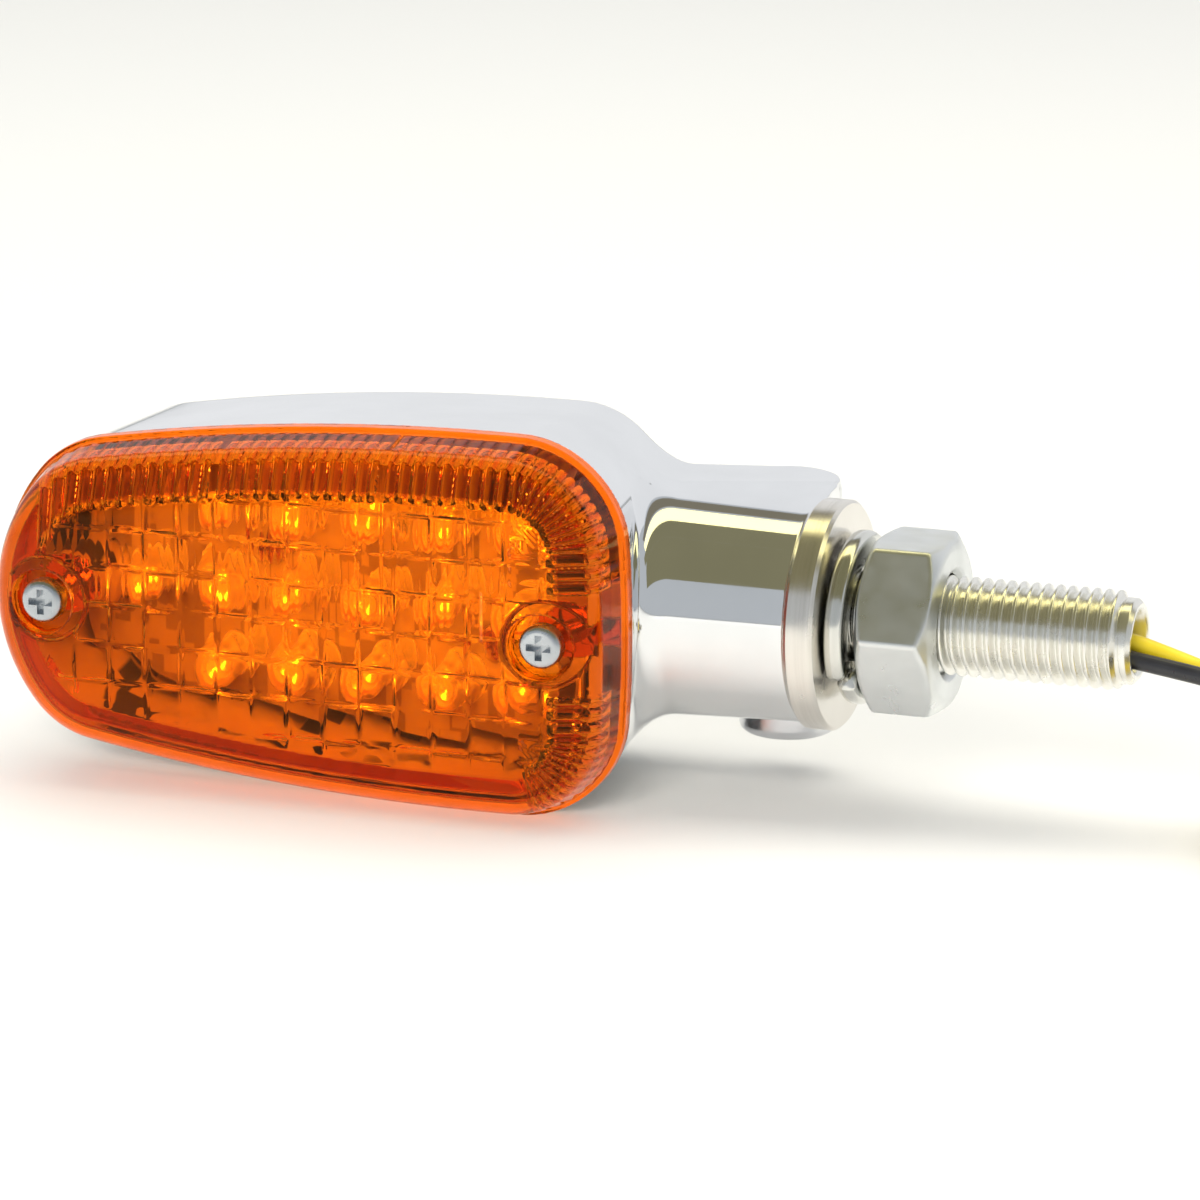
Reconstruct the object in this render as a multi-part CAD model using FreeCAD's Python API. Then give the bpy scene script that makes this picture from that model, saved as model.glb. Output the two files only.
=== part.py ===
"""LED turn signal for a motorcycle: chromed lamp head on a swivelling hollow M10 stem.

Frame, in millimetres: +X runs along the stem from the lamp head to the free end of the stud,
+Z is up and the amber lens faces -Y. The origin is on the stem's axis, in the plane of the
collar's outer face, where the bracket is clamped.
"""

import FreeCAD, Part
import math
import os

V = FreeCAD.Vector
X_AXIS = V(1, 0, 0)
Y_AXIS = V(0, 1, 0)
Z_AXIS = V(0, 0, 1)

# Outline of the lamp head, seen from the front: five kinds of arc, tangent to each other
NOSE_X = -85.5  # outer end
STEM_END_X = -17.9  # end beside the stem
HALF_HEIGHT = 19.55
CROWN_X = -33.0  # where the head is highest
NOSE_R = 19.0
SHOULDER_R = 11.0
CROWN_R = 240.0
CORNER_R = 10.0
END_R = 150.0

# Housing
RIM_Y = -13.6  # open front of the shell
BACK_TAPER = 1.8  # how much nearer the nose the stem end lies at the back
BACK_Y = 12.0
RIM_INSET = 0.3
DRAFT = 0.055  # inset per millimetre of depth
WALL = 1.9
BACK_EDGE_R = 5.0
INNER_EDGE_R = 3.0
NECK_R = 11.0  # at the collar
NECK_DRAFT = 0.038
NECK_END_X = -3.1
NECK_ROOT_X = -26.0
NECK_BLEND_R = 2.0
SPIGOT_BORE_R = 9.05
SPIGOT_BORE_X = -15.5
WIRE_HOLE_R = 3.55
WIRE_HOLE_X = -23.4

# Pinch clamp behind the neck
CLAMP_X = -8.5
CLAMP_Y = 8.0
CLAMP_BOSS_R = 5.3
CLAMP_HALF_HEIGHT = 11.9
CLAMP_SLIT = 1.5
SLIT_FRONT_Y = 2.0  # the slit runs from here out through the back of the boss
CLAMP_SCREW_R = 2.5
CLAMP_SCREW_TOP_Z = 8.6
CLAMP_HEAD_R = 5.05
CLAMP_HEAD_H = 2.9
CLAMP_SOCKET = 6.0  # across its flats
CLAMP_SOCKET_DEPTH = 1.8
BOSS_EDGE_R = 1.2
WEB_ROOT_Y = 11.9  # back of the web where it leaves the head
WEB_ROOT_R = 4.5

# Lens
GASKET_T = 0.5
GASKET_OUTER_INSET = 0.7
GASKET_INNER_INSET = 2.0
FLANGE_T = 1.2
LENS_FRONT_Y = -22.0
LENS_WALL = 1.8
CROWN_INSET = 0.4  # at the flange
FRONT_INSET = 1.8
FRONT_EDGE_R = 3.6
LENS_SCREW_X = (-78.4, -24.9)
POST_R = 3.0
RECESS_R = 3.3
RECESS_Y = -20.3
RECESS_WALL = 1.0
LENS_SCREW_R = 1.2
LENS_HEAD_R = 2.25
LENS_HEAD_H = 1.7
LENS_SCREW_TIP_Y = -7.0
SHORT_POST_Y = -4.6  # inner end of the post beside the stem, which clears the leads
LENS_PILOT_END_Y = -5.2
POST_WEB_T = 3.0

# Circuit board and light-emitting diodes
BOARD_Y = -4.0  # front face
BOARD_T = 1.6
BOARD_INSET = 4.4
LED_R = 2.5
LED_FLANGE_R = 2.9
LED_FLANGE_T = 1.0
LED_HEIGHT = 8.6
LED_PITCH = 8.2
LED_ROW_Z = 8.2
LED_FIRST_X = -72.0
LED_COLUMNS = 6
BOARD_SCREWS = ((-59.7, LED_ROW_Z / 2), (-35.1, -LED_ROW_Z / 2))
BOARD_END_X = -27.8  # cut short of the post beside the stem
BOARD_POST_R = 2.2
BOARD_PILOT_R = 1.0
BOARD_PILOT_END_Y = 4.0
BOARD_SCREW_TIP_Y = 2.0
BOARD_HEAD_R = 1.9
BOARD_HEAD_H = 1.4
RESISTOR_R = 1.15
RESISTOR_LENGTH = 6.3
RESISTOR_X = (-67.5, -47.4)
RESISTOR_Z = (-4.6, 4.6)
DIODE_R = 1.35
DIODE_LENGTH = 5.2
DIODE_PLACE = (-38.0, 6.6)  # x, z
LEAD_SPAN = 10.0  # between the two wires of a resistor or the diode
COMPONENT_WIRE_R = 0.25

# Stem
COLLAR_R = 11.65
COLLAR_T = 3.0
SPIGOT_R = 9.0
SPIGOT_END_X = -15.0
GROOVE_R = 5.3
GROOVE_HALF_W = 2.8
ORING_X = -13.4
ORING_HALF_W = 0.8
ORING_OUT_R = 9.02
ORING_IN_R = 7.6
ORING_EDGE_R = 0.5
STUD_BORE_R = 3.1
STUD_END_X = 30.5
THREAD_R = 5.0
THREAD_SLIM_R = 4.8  # under the washer and nut, which turn and slide over it
THREAD_ROOT_R = 4.23
THREAD_PITCH = 1.25
THREAD_END_X = 29.2
SLIM_END_X = 11.4
STUD_TIP_R = 4.1
STUD_SEAT_X = -5.0

# Grommet
GROMMET_X = (-23.6, -22.5, -16.2)  # inner face, shoulder, outer end
GROMMET_BORE_R = 2.8
GROMMET_SPOUT_R = 3.53
GROMMET_FLANGE_R = 4.6

# Spring washer and nut
WASHER_X = 0.08
WASHER_IN_R = 5.35
WASHER_OUT_R = 8.75
WASHER_T = 2.0
WASHER_SPRING = 1.0  # how far its two ends stand apart along the stud
WASHER_TURN_DEG = 350.0
WASHER_SPLIT_DEG = -31.0
NUT_X = 3.2
NUT_T = 8.0
NUT_FLATS = 17.0
NUT_BORE_R = 5.07
NUT_CHAMFER_R = 7.9

# Leads
LEAD_R = 0.9
SLEEVE_R = 2.5
SLEEVE_X = (-23.5, 20.0)
FLOOR_Z = -HALF_HEIGHT  # the head rests on the lowest point of its rim
COIL_X = 52.0
COIL_LIFT = 0.5  # thickness of the tie beneath the coil
BLACK_COIL_R = 8.8
YELLOW_COIL_R = 10.75
COIL_HALF_W = 0.95
COIL_TOP = 10.4  # above the surface the head rests on
YELLOW_COIL_LIFT = 2.4  # the black lead's end passes beneath
TIE_HALF_W = 1.25
TIE_T = 0.45
BULLET_Y = -12.5
BULLET_SLEEVE_R = 2.1
BULLET_SLEEVE_LENGTH = 8.0
BULLET_BARREL_R = 1.55
BULLET_NECK_R = 1.2
BULLET_HEAD_R = 1.95
BULLET_STEPS = (6.5, 9.5, 10.6, 14.4)  # barrel, neck, head and tip, from the lead's end

PAST = 1.0  # how far a cutting shape runs on beyond the surface that it opens

# Each route lists the points of a lead's free stretches; its runs meet in tangent arcs.
BLACK_ROUTE = (
    (20.0, -1.0, -0.2),
    (27.0, -0.7, -1.3),
    (34.6, -0.6, -2.4),
    (41.8, 1.2, -4.2),
    (46.2, 5.7, -6.7),
    (51.9, 8.7, -8.15),
)
YELLOW_ROUTE = (
    (20.0, 1.0, 0.2),
    (27.0, 1.2, 0.3),
    (34.4, 1.4, -1.9),
    (41.4, 3.5, -5.0),
    (45.6, 8.4, -7.4),
    (51.6, 10.7, -8.15),
)
BLACK_TAIL = ((60.75, -3.0, -18.3), (61.1, -8.0, -18.3), (60.7, BULLET_Y, -17.35))
YELLOW_TAIL = ((62.7, -3.0, -16.4), (63.7, -8.0, -17.1), (65.2, BULLET_Y, -17.35))
BLACK_INNER = (
    (-32.4, -1.45, -5.0),
    (-29.2, -1.0, -3.8),
    (-26.4, -0.1, -1.35),
    (-23.65, 0.0, -0.95),
)
YELLOW_INNER = tuple((x, y, -z) for x, y, z in BLACK_INNER)


def export(shape, node):
    shape.exportStep("parts/%s.step" % node)
    kind = "valid" if shape.isValid() else "NOT VALID"
    print("%-22s %8.1f mm3, %d solid(s), %s" % (node, shape.Volume, len(shape.Solids), kind))


def cylinder(radius, start, end):
    """A cylinder between two points."""
    axis = end - start
    return Part.makeCylinder(radius, axis.Length, start, axis)


def along_x(radius, x0, x1):
    return cylinder(radius, V(x0, 0, 0), V(x1, 0, 0))


def box(low, high):
    size = V(*high) - V(*low)
    return Part.makeBox(size.x, size.y, size.z, V(*low))


def revolved_x(profile):
    """A solid turned about the stem's axis from (x, radius) points."""
    points = [V(x, 0, r) for x, r in profile]
    face = Part.Face(Part.makePolygon(points + points[:1]))
    return face.revolve(V(0, 0, 0), X_AXIS, 360)


# ---------------------------------------------------------------- head outline


def touching_centre(c1, r1, c2, r2, r, side):
    """Centre of the arc of radius r that touches two larger circles from inside, on one side."""
    d1 = r1 - r
    d2 = r2 - r
    dx = c2[0] - c1[0]
    dz = c2[1] - c1[1]
    d = math.hypot(dx, dz)
    a = (d1 * d1 - d2 * d2 + d * d) / (2 * d)
    h = math.sqrt(d1 * d1 - a * a)
    options = [
        (c1[0] + (a * dx + s * h * dz) / d, c1[1] + (a * dz - s * h * dx) / d) for s in (1, -1)
    ]
    return max(options, key=lambda p: side * p[0])


def outline_arcs(end_x):
    """The upper half of the head's outline as (centre, radius) from the nose to the stem end."""
    nose = (NOSE_X + NOSE_R, 0.0)
    crown = (CROWN_X, HALF_HEIGHT - CROWN_R)
    end = (end_x - END_R, 0.0)
    shoulder = touching_centre(nose, NOSE_R, crown, CROWN_R, SHOULDER_R, -1)
    corner = touching_centre(crown, CROWN_R, end, END_R, CORNER_R, 1)
    return (
        (nose, NOSE_R),
        (shoulder, SHOULDER_R),
        (crown, CROWN_R),
        (corner, CORNER_R),
        (end, END_R),
    )


def joint_angle(large, small):
    """Direction from the large arc's centre to the small one's, where the two arcs meet."""
    return math.atan2(small[1] - large[1], small[0] - large[0])


def head_wire(y, inset):
    """The head's outline at a depth y, moved inwards by the inset; behind the rim it tapers."""
    taper = BACK_TAPER * max(y - RIM_Y, 0.0) / (BACK_Y - RIM_Y)
    (nose, nr), (shoulder, sr), (crown, cr), (corner, kr), (end, er) = outline_arcs(STEM_END_X - taper)
    a1 = joint_angle(nose, shoulder)
    a2 = joint_angle(crown, shoulder)
    a3 = joint_angle(crown, corner)
    a4 = joint_angle(end, corner)
    upper = (
        (shoulder, sr, a1, a2),
        (crown, cr, a2, a3),
        (corner, kr, a3, a4),
    )

    def arc(centre, radius, start, stop, mirror):
        r = radius - inset
        sign = -1 if mirror else 1
        angles = (start, (start + stop) / 2, stop)
        points = [
            V(centre[0] + r * math.cos(t), y, sign * (centre[1] + r * math.sin(t))) for t in angles
        ]
        return Part.Arc(*points).toShape()

    edges = [arc(nose, nr, 2 * math.pi - a1, a1, False)]
    edges += [arc(*part, False) for part in upper]
    edges.append(arc(end, er, a4, -a4, False))
    edges += [arc(c, r, stop, start, True) for c, r, start, stop in reversed(upper)]
    return Part.Wire(edges)


def head_loft(y0, inset0, y1, inset1):
    return Part.makeLoft([head_wire(y0, inset0), head_wire(y1, inset1)], True, True)


def edges_at_y(shape, y):
    """Edges that lie in the plane at depth y."""
    return [
        e for e in shape.Edges if all(abs(v.Point.y - y) < 1e-4 for v in e.Vertexes) and e.Length > 0.1
    ]


def shell_inset(y):
    return RIM_INSET + DRAFT * (y - RIM_Y)


# ---------------------------------------------------------------- lamp head


def neck_radius(x):
    return NECK_R + NECK_DRAFT * (NECK_END_X - x)


def outer_body():
    """The head's outside with the neck and clamp boss blended on."""
    body = head_loft(RIM_Y, shell_inset(RIM_Y), BACK_Y, shell_inset(BACK_Y))
    body = body.makeFillet(BACK_EDGE_R, edges_at_y(body, BACK_Y))
    length = NECK_END_X - NECK_ROOT_X
    neck = Part.makeCone(
        neck_radius(NECK_ROOT_X), neck_radius(NECK_END_X), length, V(NECK_ROOT_X, 0, 0), X_AXIS
    )
    body = body.fuse(neck).removeSplitter()
    body = body.makeFillet(NECK_BLEND_R, [e for e in body.Edges if on_neck_root(e)])
    return body.fuse([clamp_boss(), clamp_web()]).removeSplitter()


def on_neck_root(edge):
    """Whether an edge runs round the neck where it meets the head."""
    ends = [v.Point for v in edge.Vertexes]
    on_cone = all(abs(math.hypot(p.y, p.z) - neck_radius(p.x)) < 0.02 for p in ends)
    return len(ends) > 1 and on_cone and edge.BoundBox.XMax < CLAMP_X


def clamp_boss():
    """Upright boss behind the neck, rounded at both ends."""
    low = V(CLAMP_X, CLAMP_Y, -CLAMP_HALF_HEIGHT)
    high = V(CLAMP_X, CLAMP_Y, CLAMP_HALF_HEIGHT)
    boss = cylinder(CLAMP_BOSS_R, low, high)
    rims = [e for e in boss.Edges if len(e.Vertexes) == 1 and e.Length > math.pi * CLAMP_BOSS_R]
    return boss.makeFillet(BOSS_EDGE_R, rims)


def web_section(x, back_y, back_r):
    """The clamp web's section: a plate on edge, its back corners more rounded than its front."""
    corners = (
        (CLAMP_Y - CLAMP_BOSS_R, -1, BOSS_EDGE_R),
        (back_y, -1, back_r),
        (back_y, 1, back_r),
        (CLAMP_Y - CLAMP_BOSS_R, 1, BOSS_EDGE_R),
    )
    arcs = []
    for k, (y, side, r) in enumerate(corners):
        into = 1 if k in (0, 3) else -1
        cy = y + into * r
        cz = side * (CLAMP_HALF_HEIGHT - r)
        upright = V(x, y, cz)
        level = V(x, cy, side * CLAMP_HALF_HEIGHT)
        reach = r * math.sqrt(0.5)
        middle = V(x, cy - into * reach, cz + side * reach)
        ends = (upright, level) if k in (0, 2) else (level, upright)
        arcs.append((ends[0], middle, ends[1]))
    edges = []
    for this, after in zip(arcs, arcs[1:] + arcs[:1]):
        edges.append(Part.Arc(*this).toShape())
        edges.append(Part.makeLine(this[2], after[0]))
    return Part.Wire(edges)


def clamp_web():
    """Web that joins the clamp boss to the head."""
    root = web_section(NECK_ROOT_X - 1, WEB_ROOT_Y, WEB_ROOT_R)
    tip = web_section(CLAMP_X, CLAMP_Y + CLAMP_BOSS_R, BOSS_EDGE_R)
    return Part.makeLoft([root, tip], True, True)


def housing():
    body = outer_body()
    inner_y = BACK_Y - WALL
    cavity = head_loft(RIM_Y - PAST, shell_inset(RIM_Y) + WALL, inner_y, shell_inset(inner_y) + WALL)
    cavity = cavity.makeFillet(INNER_EDGE_R, edges_at_y(cavity, inner_y))
    body = body.cut(cavity)
    outer_x, inner_x = LENS_SCREW_X
    post_root = BACK_Y - WALL / 2
    posts = [cylinder(POST_R, V(outer_x, post_root, 0), V(outer_x, RIM_Y, 0))]
    posts.append(cylinder(POST_R, V(inner_x, SHORT_POST_Y, 0), V(inner_x, RIM_Y, 0)))
    wall_x = STEM_END_X - RIM_INSET - WALL
    half = POST_WEB_T / 2
    posts.append(box((inner_x, RIM_Y, -half), (wall_x, SHORT_POST_Y, half)))
    board_back = BOARD_Y + BOARD_T
    posts += [cylinder(BOARD_POST_R, V(x, post_root, z), V(x, board_back, z)) for x, z in BOARD_SCREWS]
    body = body.fuse(posts)
    return body.cut(housing_openings()).removeSplitter()


def housing_openings():
    """The spigot's bore, the wire hole, the clamp's slit and every screw hole."""
    end_x = NECK_END_X + PAST
    back_y = CLAMP_Y + CLAMP_BOSS_R + PAST
    half = CLAMP_SLIT / 2
    low = V(CLAMP_X, CLAMP_Y, -CLAMP_HALF_HEIGHT - PAST)
    cuts = [
        along_x(SPIGOT_BORE_R, SPIGOT_BORE_X, end_x),
        along_x(WIRE_HOLE_R, WIRE_HOLE_X, SPIGOT_BORE_X + PAST),
        box((SPIGOT_BORE_X + PAST, SLIT_FRONT_Y, -half), (end_x, back_y, half)),
        cylinder(CLAMP_SCREW_R, low, V(CLAMP_X, CLAMP_Y, CLAMP_SCREW_TOP_Z + PAST)),
    ]
    for x in LENS_SCREW_X:
        cuts.append(cylinder(LENS_SCREW_R, V(x, RIM_Y - PAST, 0), V(x, LENS_PILOT_END_Y, 0)))
    for x, z in BOARD_SCREWS:
        cuts.append(cylinder(BOARD_PILOT_R, V(x, BOARD_Y, z), V(x, BOARD_PILOT_END_Y, z)))
    return cuts


def lens_gasket():
    front_y = RIM_Y - GASKET_T
    outer = head_loft(RIM_Y, GASKET_OUTER_INSET, front_y, GASKET_OUTER_INSET)
    opening = head_loft(RIM_Y + PAST, GASKET_INNER_INSET, front_y - PAST, GASKET_INNER_INSET)
    return outer.cut(opening)


def lens():
    seat = RIM_Y - GASKET_T
    step = seat - FLANGE_T
    flange = head_loft(seat, 0.0, step, 0.0)
    crown = head_loft(step, CROWN_INSET, LENS_FRONT_Y, FRONT_INSET)
    crown = crown.makeFillet(FRONT_EDGE_R, edges_at_y(crown, LENS_FRONT_Y))
    shell = flange.fuse(crown)
    inner_y = LENS_FRONT_Y + LENS_WALL
    hollow = head_loft(RIM_Y, CROWN_INSET + LENS_WALL, inner_y, FRONT_INSET + LENS_WALL)
    shell = shell.cut(hollow.makeFillet(FRONT_EDGE_R - LENS_WALL, edges_at_y(hollow, inner_y)))
    boss_r = RECESS_R + RECESS_WALL
    bosses = [cylinder(boss_r, V(x, inner_y - LENS_WALL / 2, 0), V(x, RIM_Y, 0)) for x in LENS_SCREW_X]
    limit = head_loft(RIM_Y, LENS_WALL, LENS_FRONT_Y + LENS_WALL / 2, FRONT_INSET + LENS_WALL)
    shell = shell.fuse([b.common(limit) for b in bosses])
    for x in LENS_SCREW_X:
        recess = cylinder(RECESS_R, V(x, LENS_FRONT_Y - PAST, 0), V(x, RECESS_Y, 0))
        hole = cylinder(LENS_SCREW_R + 0.3, V(x, LENS_FRONT_Y, 0), V(x, RIM_Y + PAST, 0))
        shell = shell.cut([recess, hole])
    return shell.removeSplitter()


def cross_recess(head, x, y, z, size, depth):
    """Cut a cross-shaped drive into a screw head that faces -Y."""
    half = size / 2
    arm = size / 7
    for across, up in ((half, arm), (arm, half)):
        slot = box((x - across, y - 1, z - up), (x + across, y + depth, z + up))
        head = head.cut(slot)
    return head


def pan_screw(x, z, seat_y, head_r, head_h, shank_r, tip_y):
    """A screw along +Y with a rounded pan head on its -Y end."""
    head = cylinder(head_r, V(x, seat_y, z), V(x, seat_y - head_h, z))
    rim = [e for e in head.Edges if abs(e.CenterOfMass.y - (seat_y - head_h)) < 1e-6]
    head = head.makeFillet(head_h * 0.45, rim)
    head = cross_recess(head, x, seat_y - head_h, z, head_r * 1.15, head_h * 0.6)
    shank = cylinder(shank_r, V(x, seat_y, z), V(x, tip_y, z))
    tip = Part.makeCone(shank_r, 0.2, shank_r, V(x, tip_y, z), Y_AXIS)
    return head.fuse([shank, tip])


def lens_screws():
    shank = LENS_SCREW_R - 0.02
    return [
        pan_screw(x, 0.0, RECESS_Y, LENS_HEAD_R, LENS_HEAD_H, shank, LENS_SCREW_TIP_Y)
        for x in LENS_SCREW_X
    ]


def board_screws():
    shank = BOARD_PILOT_R - 0.02
    return [
        pan_screw(x, z, BOARD_Y, BOARD_HEAD_R, BOARD_HEAD_H, shank, BOARD_SCREW_TIP_Y)
        for x, z in BOARD_SCREWS
    ]


def led_board():
    board = head_loft(BOARD_Y, BOARD_INSET, BOARD_Y + BOARD_T, BOARD_INSET)
    front = BOARD_Y - PAST
    back = BOARD_Y + BOARD_T + PAST
    post_x = LENS_SCREW_X[0]
    holes = [cylinder(POST_R + 0.3, V(post_x, front, 0), V(post_x, back, 0))]
    holes += [cylinder(BOARD_PILOT_R + 0.15, V(x, front, z), V(x, back, z)) for x, z in BOARD_SCREWS]
    holes.append(box((BOARD_END_X, front, -HALF_HEIGHT), (STEM_END_X, back, HALF_HEIGHT)))
    return board.cut(holes)


def led_places():
    """Three rows of emitters; the outer rows start one column in from the nose."""
    places = []
    for row in (-1, 0, 1):
        first = abs(row)
        for column in range(first, LED_COLUMNS):
            places.append((LED_FIRST_X + column * LED_PITCH, row * LED_ROW_Z))
    return places


def emitter(x, z):
    flange = cylinder(LED_FLANGE_R, V(x, BOARD_Y, z), V(x, BOARD_Y - LED_FLANGE_T, z))
    neck_y = BOARD_Y - LED_HEIGHT + LED_R
    barrel = cylinder(LED_R, V(x, BOARD_Y, z), V(x, neck_y, z))
    dome = Part.makeSphere(LED_R, V(x, neck_y, z), -Y_AXIS, 0, 90, 360)
    return flange.fuse([barrel, dome]).removeSplitter()


def axial_part(x, z, radius, length):
    """A wire-ended component that lies along X behind the board."""
    back = BOARD_Y + BOARD_T
    y = back + radius + 0.15
    half = length / 2
    body = cylinder(radius, V(x - half, y, z), V(x + half, y, z))
    rims = [e for e in body.Edges if len(e.Vertexes) == 1 and e.Length > radius]
    body = body.makeFillet(radius * 0.35, rims)
    ends = [x - LEAD_SPAN / 2, x + LEAD_SPAN / 2]
    wires = [cylinder(COMPONENT_WIRE_R, V(ends[0], y, z), V(ends[1], y, z))]
    wires += [cylinder(COMPONENT_WIRE_R, V(end, y, z), V(end, back, z)) for end in ends]
    return body.fuse(wires)


def resistors():
    return [axial_part(x, z, RESISTOR_R, RESISTOR_LENGTH) for x in RESISTOR_X for z in RESISTOR_Z]


def neck_grommet():
    """Rubber ring that seals the lead sleeve where it enters the head."""
    inner, shoulder, outer = GROMMET_X
    return revolved_x(
        (
            (inner, GROMMET_BORE_R),
            (inner, GROMMET_FLANGE_R),
            (shoulder, GROMMET_FLANGE_R),
            (shoulder, GROMMET_SPOUT_R),
            (outer, GROMMET_SPOUT_R),
            (outer, GROMMET_BORE_R),
        )
    )


def clamp_screw():
    """Socket button-head screw that enters from below and closes the slit neck on the spigot."""
    base = -CLAMP_HALF_HEIGHT
    head = cylinder(CLAMP_HEAD_R, V(CLAMP_X, CLAMP_Y, base), V(CLAMP_X, CLAMP_Y, base - CLAMP_HEAD_H))
    rim = [e for e in head.Edges if abs(e.CenterOfMass.z - (base - CLAMP_HEAD_H)) < 1e-6]
    head = head.makeFillet(1.0, rim)
    socket_r = CLAMP_SOCKET / 2 / math.sqrt(3)
    corners = [
        V(
            CLAMP_X + socket_r * math.cos(math.radians(60 * k)),
            CLAMP_Y + socket_r * math.sin(math.radians(60 * k)),
            base - CLAMP_HEAD_H,
        )
        for k in range(6)
    ]
    socket = Part.Face(Part.makePolygon(corners + corners[:1])).extrude(V(0, 0, CLAMP_SOCKET_DEPTH))
    tip = V(CLAMP_X, CLAMP_Y, CLAMP_SCREW_TOP_Z)
    shank = cylinder(CLAMP_SCREW_R - 0.03, V(CLAMP_X, CLAMP_Y, base), tip)
    return head.cut(socket).fuse(shank)


# ---------------------------------------------------------------- stem


def swivel_stem():
    """Collar and spigot in one turned piece, with a retaining groove for the clamp screw."""
    left = CLAMP_X - GROOVE_HALF_W
    right = CLAMP_X + GROOVE_HALF_W
    seal_l = ORING_X - ORING_HALF_W - 0.15
    seal_r = ORING_X + ORING_HALF_W + 0.15
    edge = 0.35
    return revolved_x(
        (
            (SPIGOT_END_X, STUD_BORE_R),
            (SPIGOT_END_X, SPIGOT_R - 0.5),
            (SPIGOT_END_X + 0.3, SPIGOT_R),
            (seal_l, SPIGOT_R),
            (seal_l, ORING_IN_R),
            (seal_r, ORING_IN_R),
            (seal_r, SPIGOT_R),
            (left, SPIGOT_R),
            (left, GROOVE_R),
            (right, GROOVE_R),
            (right, SPIGOT_R),
            (-COLLAR_T, SPIGOT_R),
            (-COLLAR_T, COLLAR_R - edge),
            (edge - COLLAR_T, COLLAR_R),
            (-edge, COLLAR_R),
            (0.0, COLLAR_R - edge),
            (0.0, THREAD_SLIM_R),
            (STUD_SEAT_X, THREAD_SLIM_R),
            (STUD_SEAT_X, STUD_BORE_R),
        )
    )


def swivel_seal():
    """Rubber ring in the spigot's outer groove."""
    left = ORING_X - ORING_HALF_W
    right = ORING_X + ORING_HALF_W
    ring = revolved_x(
        ((left, ORING_IN_R), (left, ORING_OUT_R), (right, ORING_OUT_R), (right, ORING_IN_R))
    )
    inner_rim = 2 * math.pi * (ORING_IN_R + ORING_EDGE_R)
    rims = [e for e in ring.Edges if len(e.Vertexes) == 1 and e.Length > inner_rim]
    return ring.makeFillet(ORING_EDGE_R, rims)


def mounting_stud():
    """Hollow M10 x 1.25 stud; its thread is a row of ridges at the thread's pitch."""
    profile = [(STUD_SEAT_X, STUD_BORE_R), (STUD_SEAT_X, THREAD_SLIM_R)]
    first = 0.6
    turns = int((THREAD_END_X - first) / THREAD_PITCH)
    for k in range(turns):
        start = first + k * THREAD_PITCH
        crest = THREAD_SLIM_R if start < SLIM_END_X else THREAD_R
        profile += [
            (start, crest if k else THREAD_SLIM_R),
            (start + 0.38, THREAD_ROOT_R),
            (start + 0.53, THREAD_ROOT_R),
            (start + 0.92, crest),
        ]
    run_out = first + turns * THREAD_PITCH
    profile += [(run_out, THREAD_R), (run_out + 0.45, THREAD_ROOT_R + 0.1)]
    profile += [(STUD_END_X - 0.5, THREAD_ROOT_R + 0.1), (STUD_END_X, STUD_TIP_R - 0.25)]
    profile += [(STUD_END_X, STUD_BORE_R + 0.3), (STUD_END_X - 0.3, STUD_BORE_R)]
    return revolved_x(profile)


def spring_washer():
    """One turn of square-section wire whose ends stand apart along the stud."""
    mid_r = (WASHER_IN_R + WASHER_OUT_R) / 2
    pitch = WASHER_SPRING * 360.0 / WASHER_TURN_DEG
    helix = Part.makeHelix(pitch, WASHER_SPRING, mid_r)
    corners = ((WASHER_IN_R, 0), (WASHER_OUT_R, 0), (WASHER_OUT_R, WASHER_T), (WASHER_IN_R, WASHER_T))
    section = Part.makePolygon([V(r, 0, h) for r, h in corners + corners[:1]])
    coil = Part.Wire(helix).makePipeShell([section], True, True)
    # the helix's axis goes from Z to X, its start to just past the split
    coil.rotate(V(0, 0, 0), Y_AXIS, 90)
    half_gap = (360 - WASHER_TURN_DEG) / 2
    coil.rotate(V(0, 0, 0), X_AXIS, 90 + WASHER_SPLIT_DEG + half_gap)
    coil.translate(V(WASHER_X, 0, 0))
    return coil


def hex_nut():
    corner_r = NUT_FLATS / math.sqrt(3)
    corners = []
    for k in range(6):
        angle = math.radians(60 * k)
        corners.append(V(NUT_X, corner_r * math.cos(angle), corner_r * math.sin(angle)))
    prism = Part.Face(Part.makePolygon(corners + corners[:1])).extrude(V(NUT_T, 0, 0))
    rise = (corner_r + 0.2 - NUT_CHAMFER_R) * math.tan(math.radians(30))
    end = NUT_X + NUT_T
    body = revolved_x(
        (
            (NUT_X, 0),
            (NUT_X, NUT_CHAMFER_R),
            (NUT_X + rise, corner_r + 0.2),
            (end - rise, corner_r + 0.2),
            (end, NUT_CHAMFER_R),
            (end, 0),
        )
    )
    bore = revolved_x(
        (
            (NUT_X - 1, 0),
            (NUT_X - 1, NUT_BORE_R + 1.6),
            (NUT_X + 0.6, NUT_BORE_R),
            (end - 0.6, NUT_BORE_R),
            (end + 1, NUT_BORE_R + 1.6),
            (end + 1, 0),
        )
    )
    return prism.common(body).cut(bore)


# ---------------------------------------------------------------- leads


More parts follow.
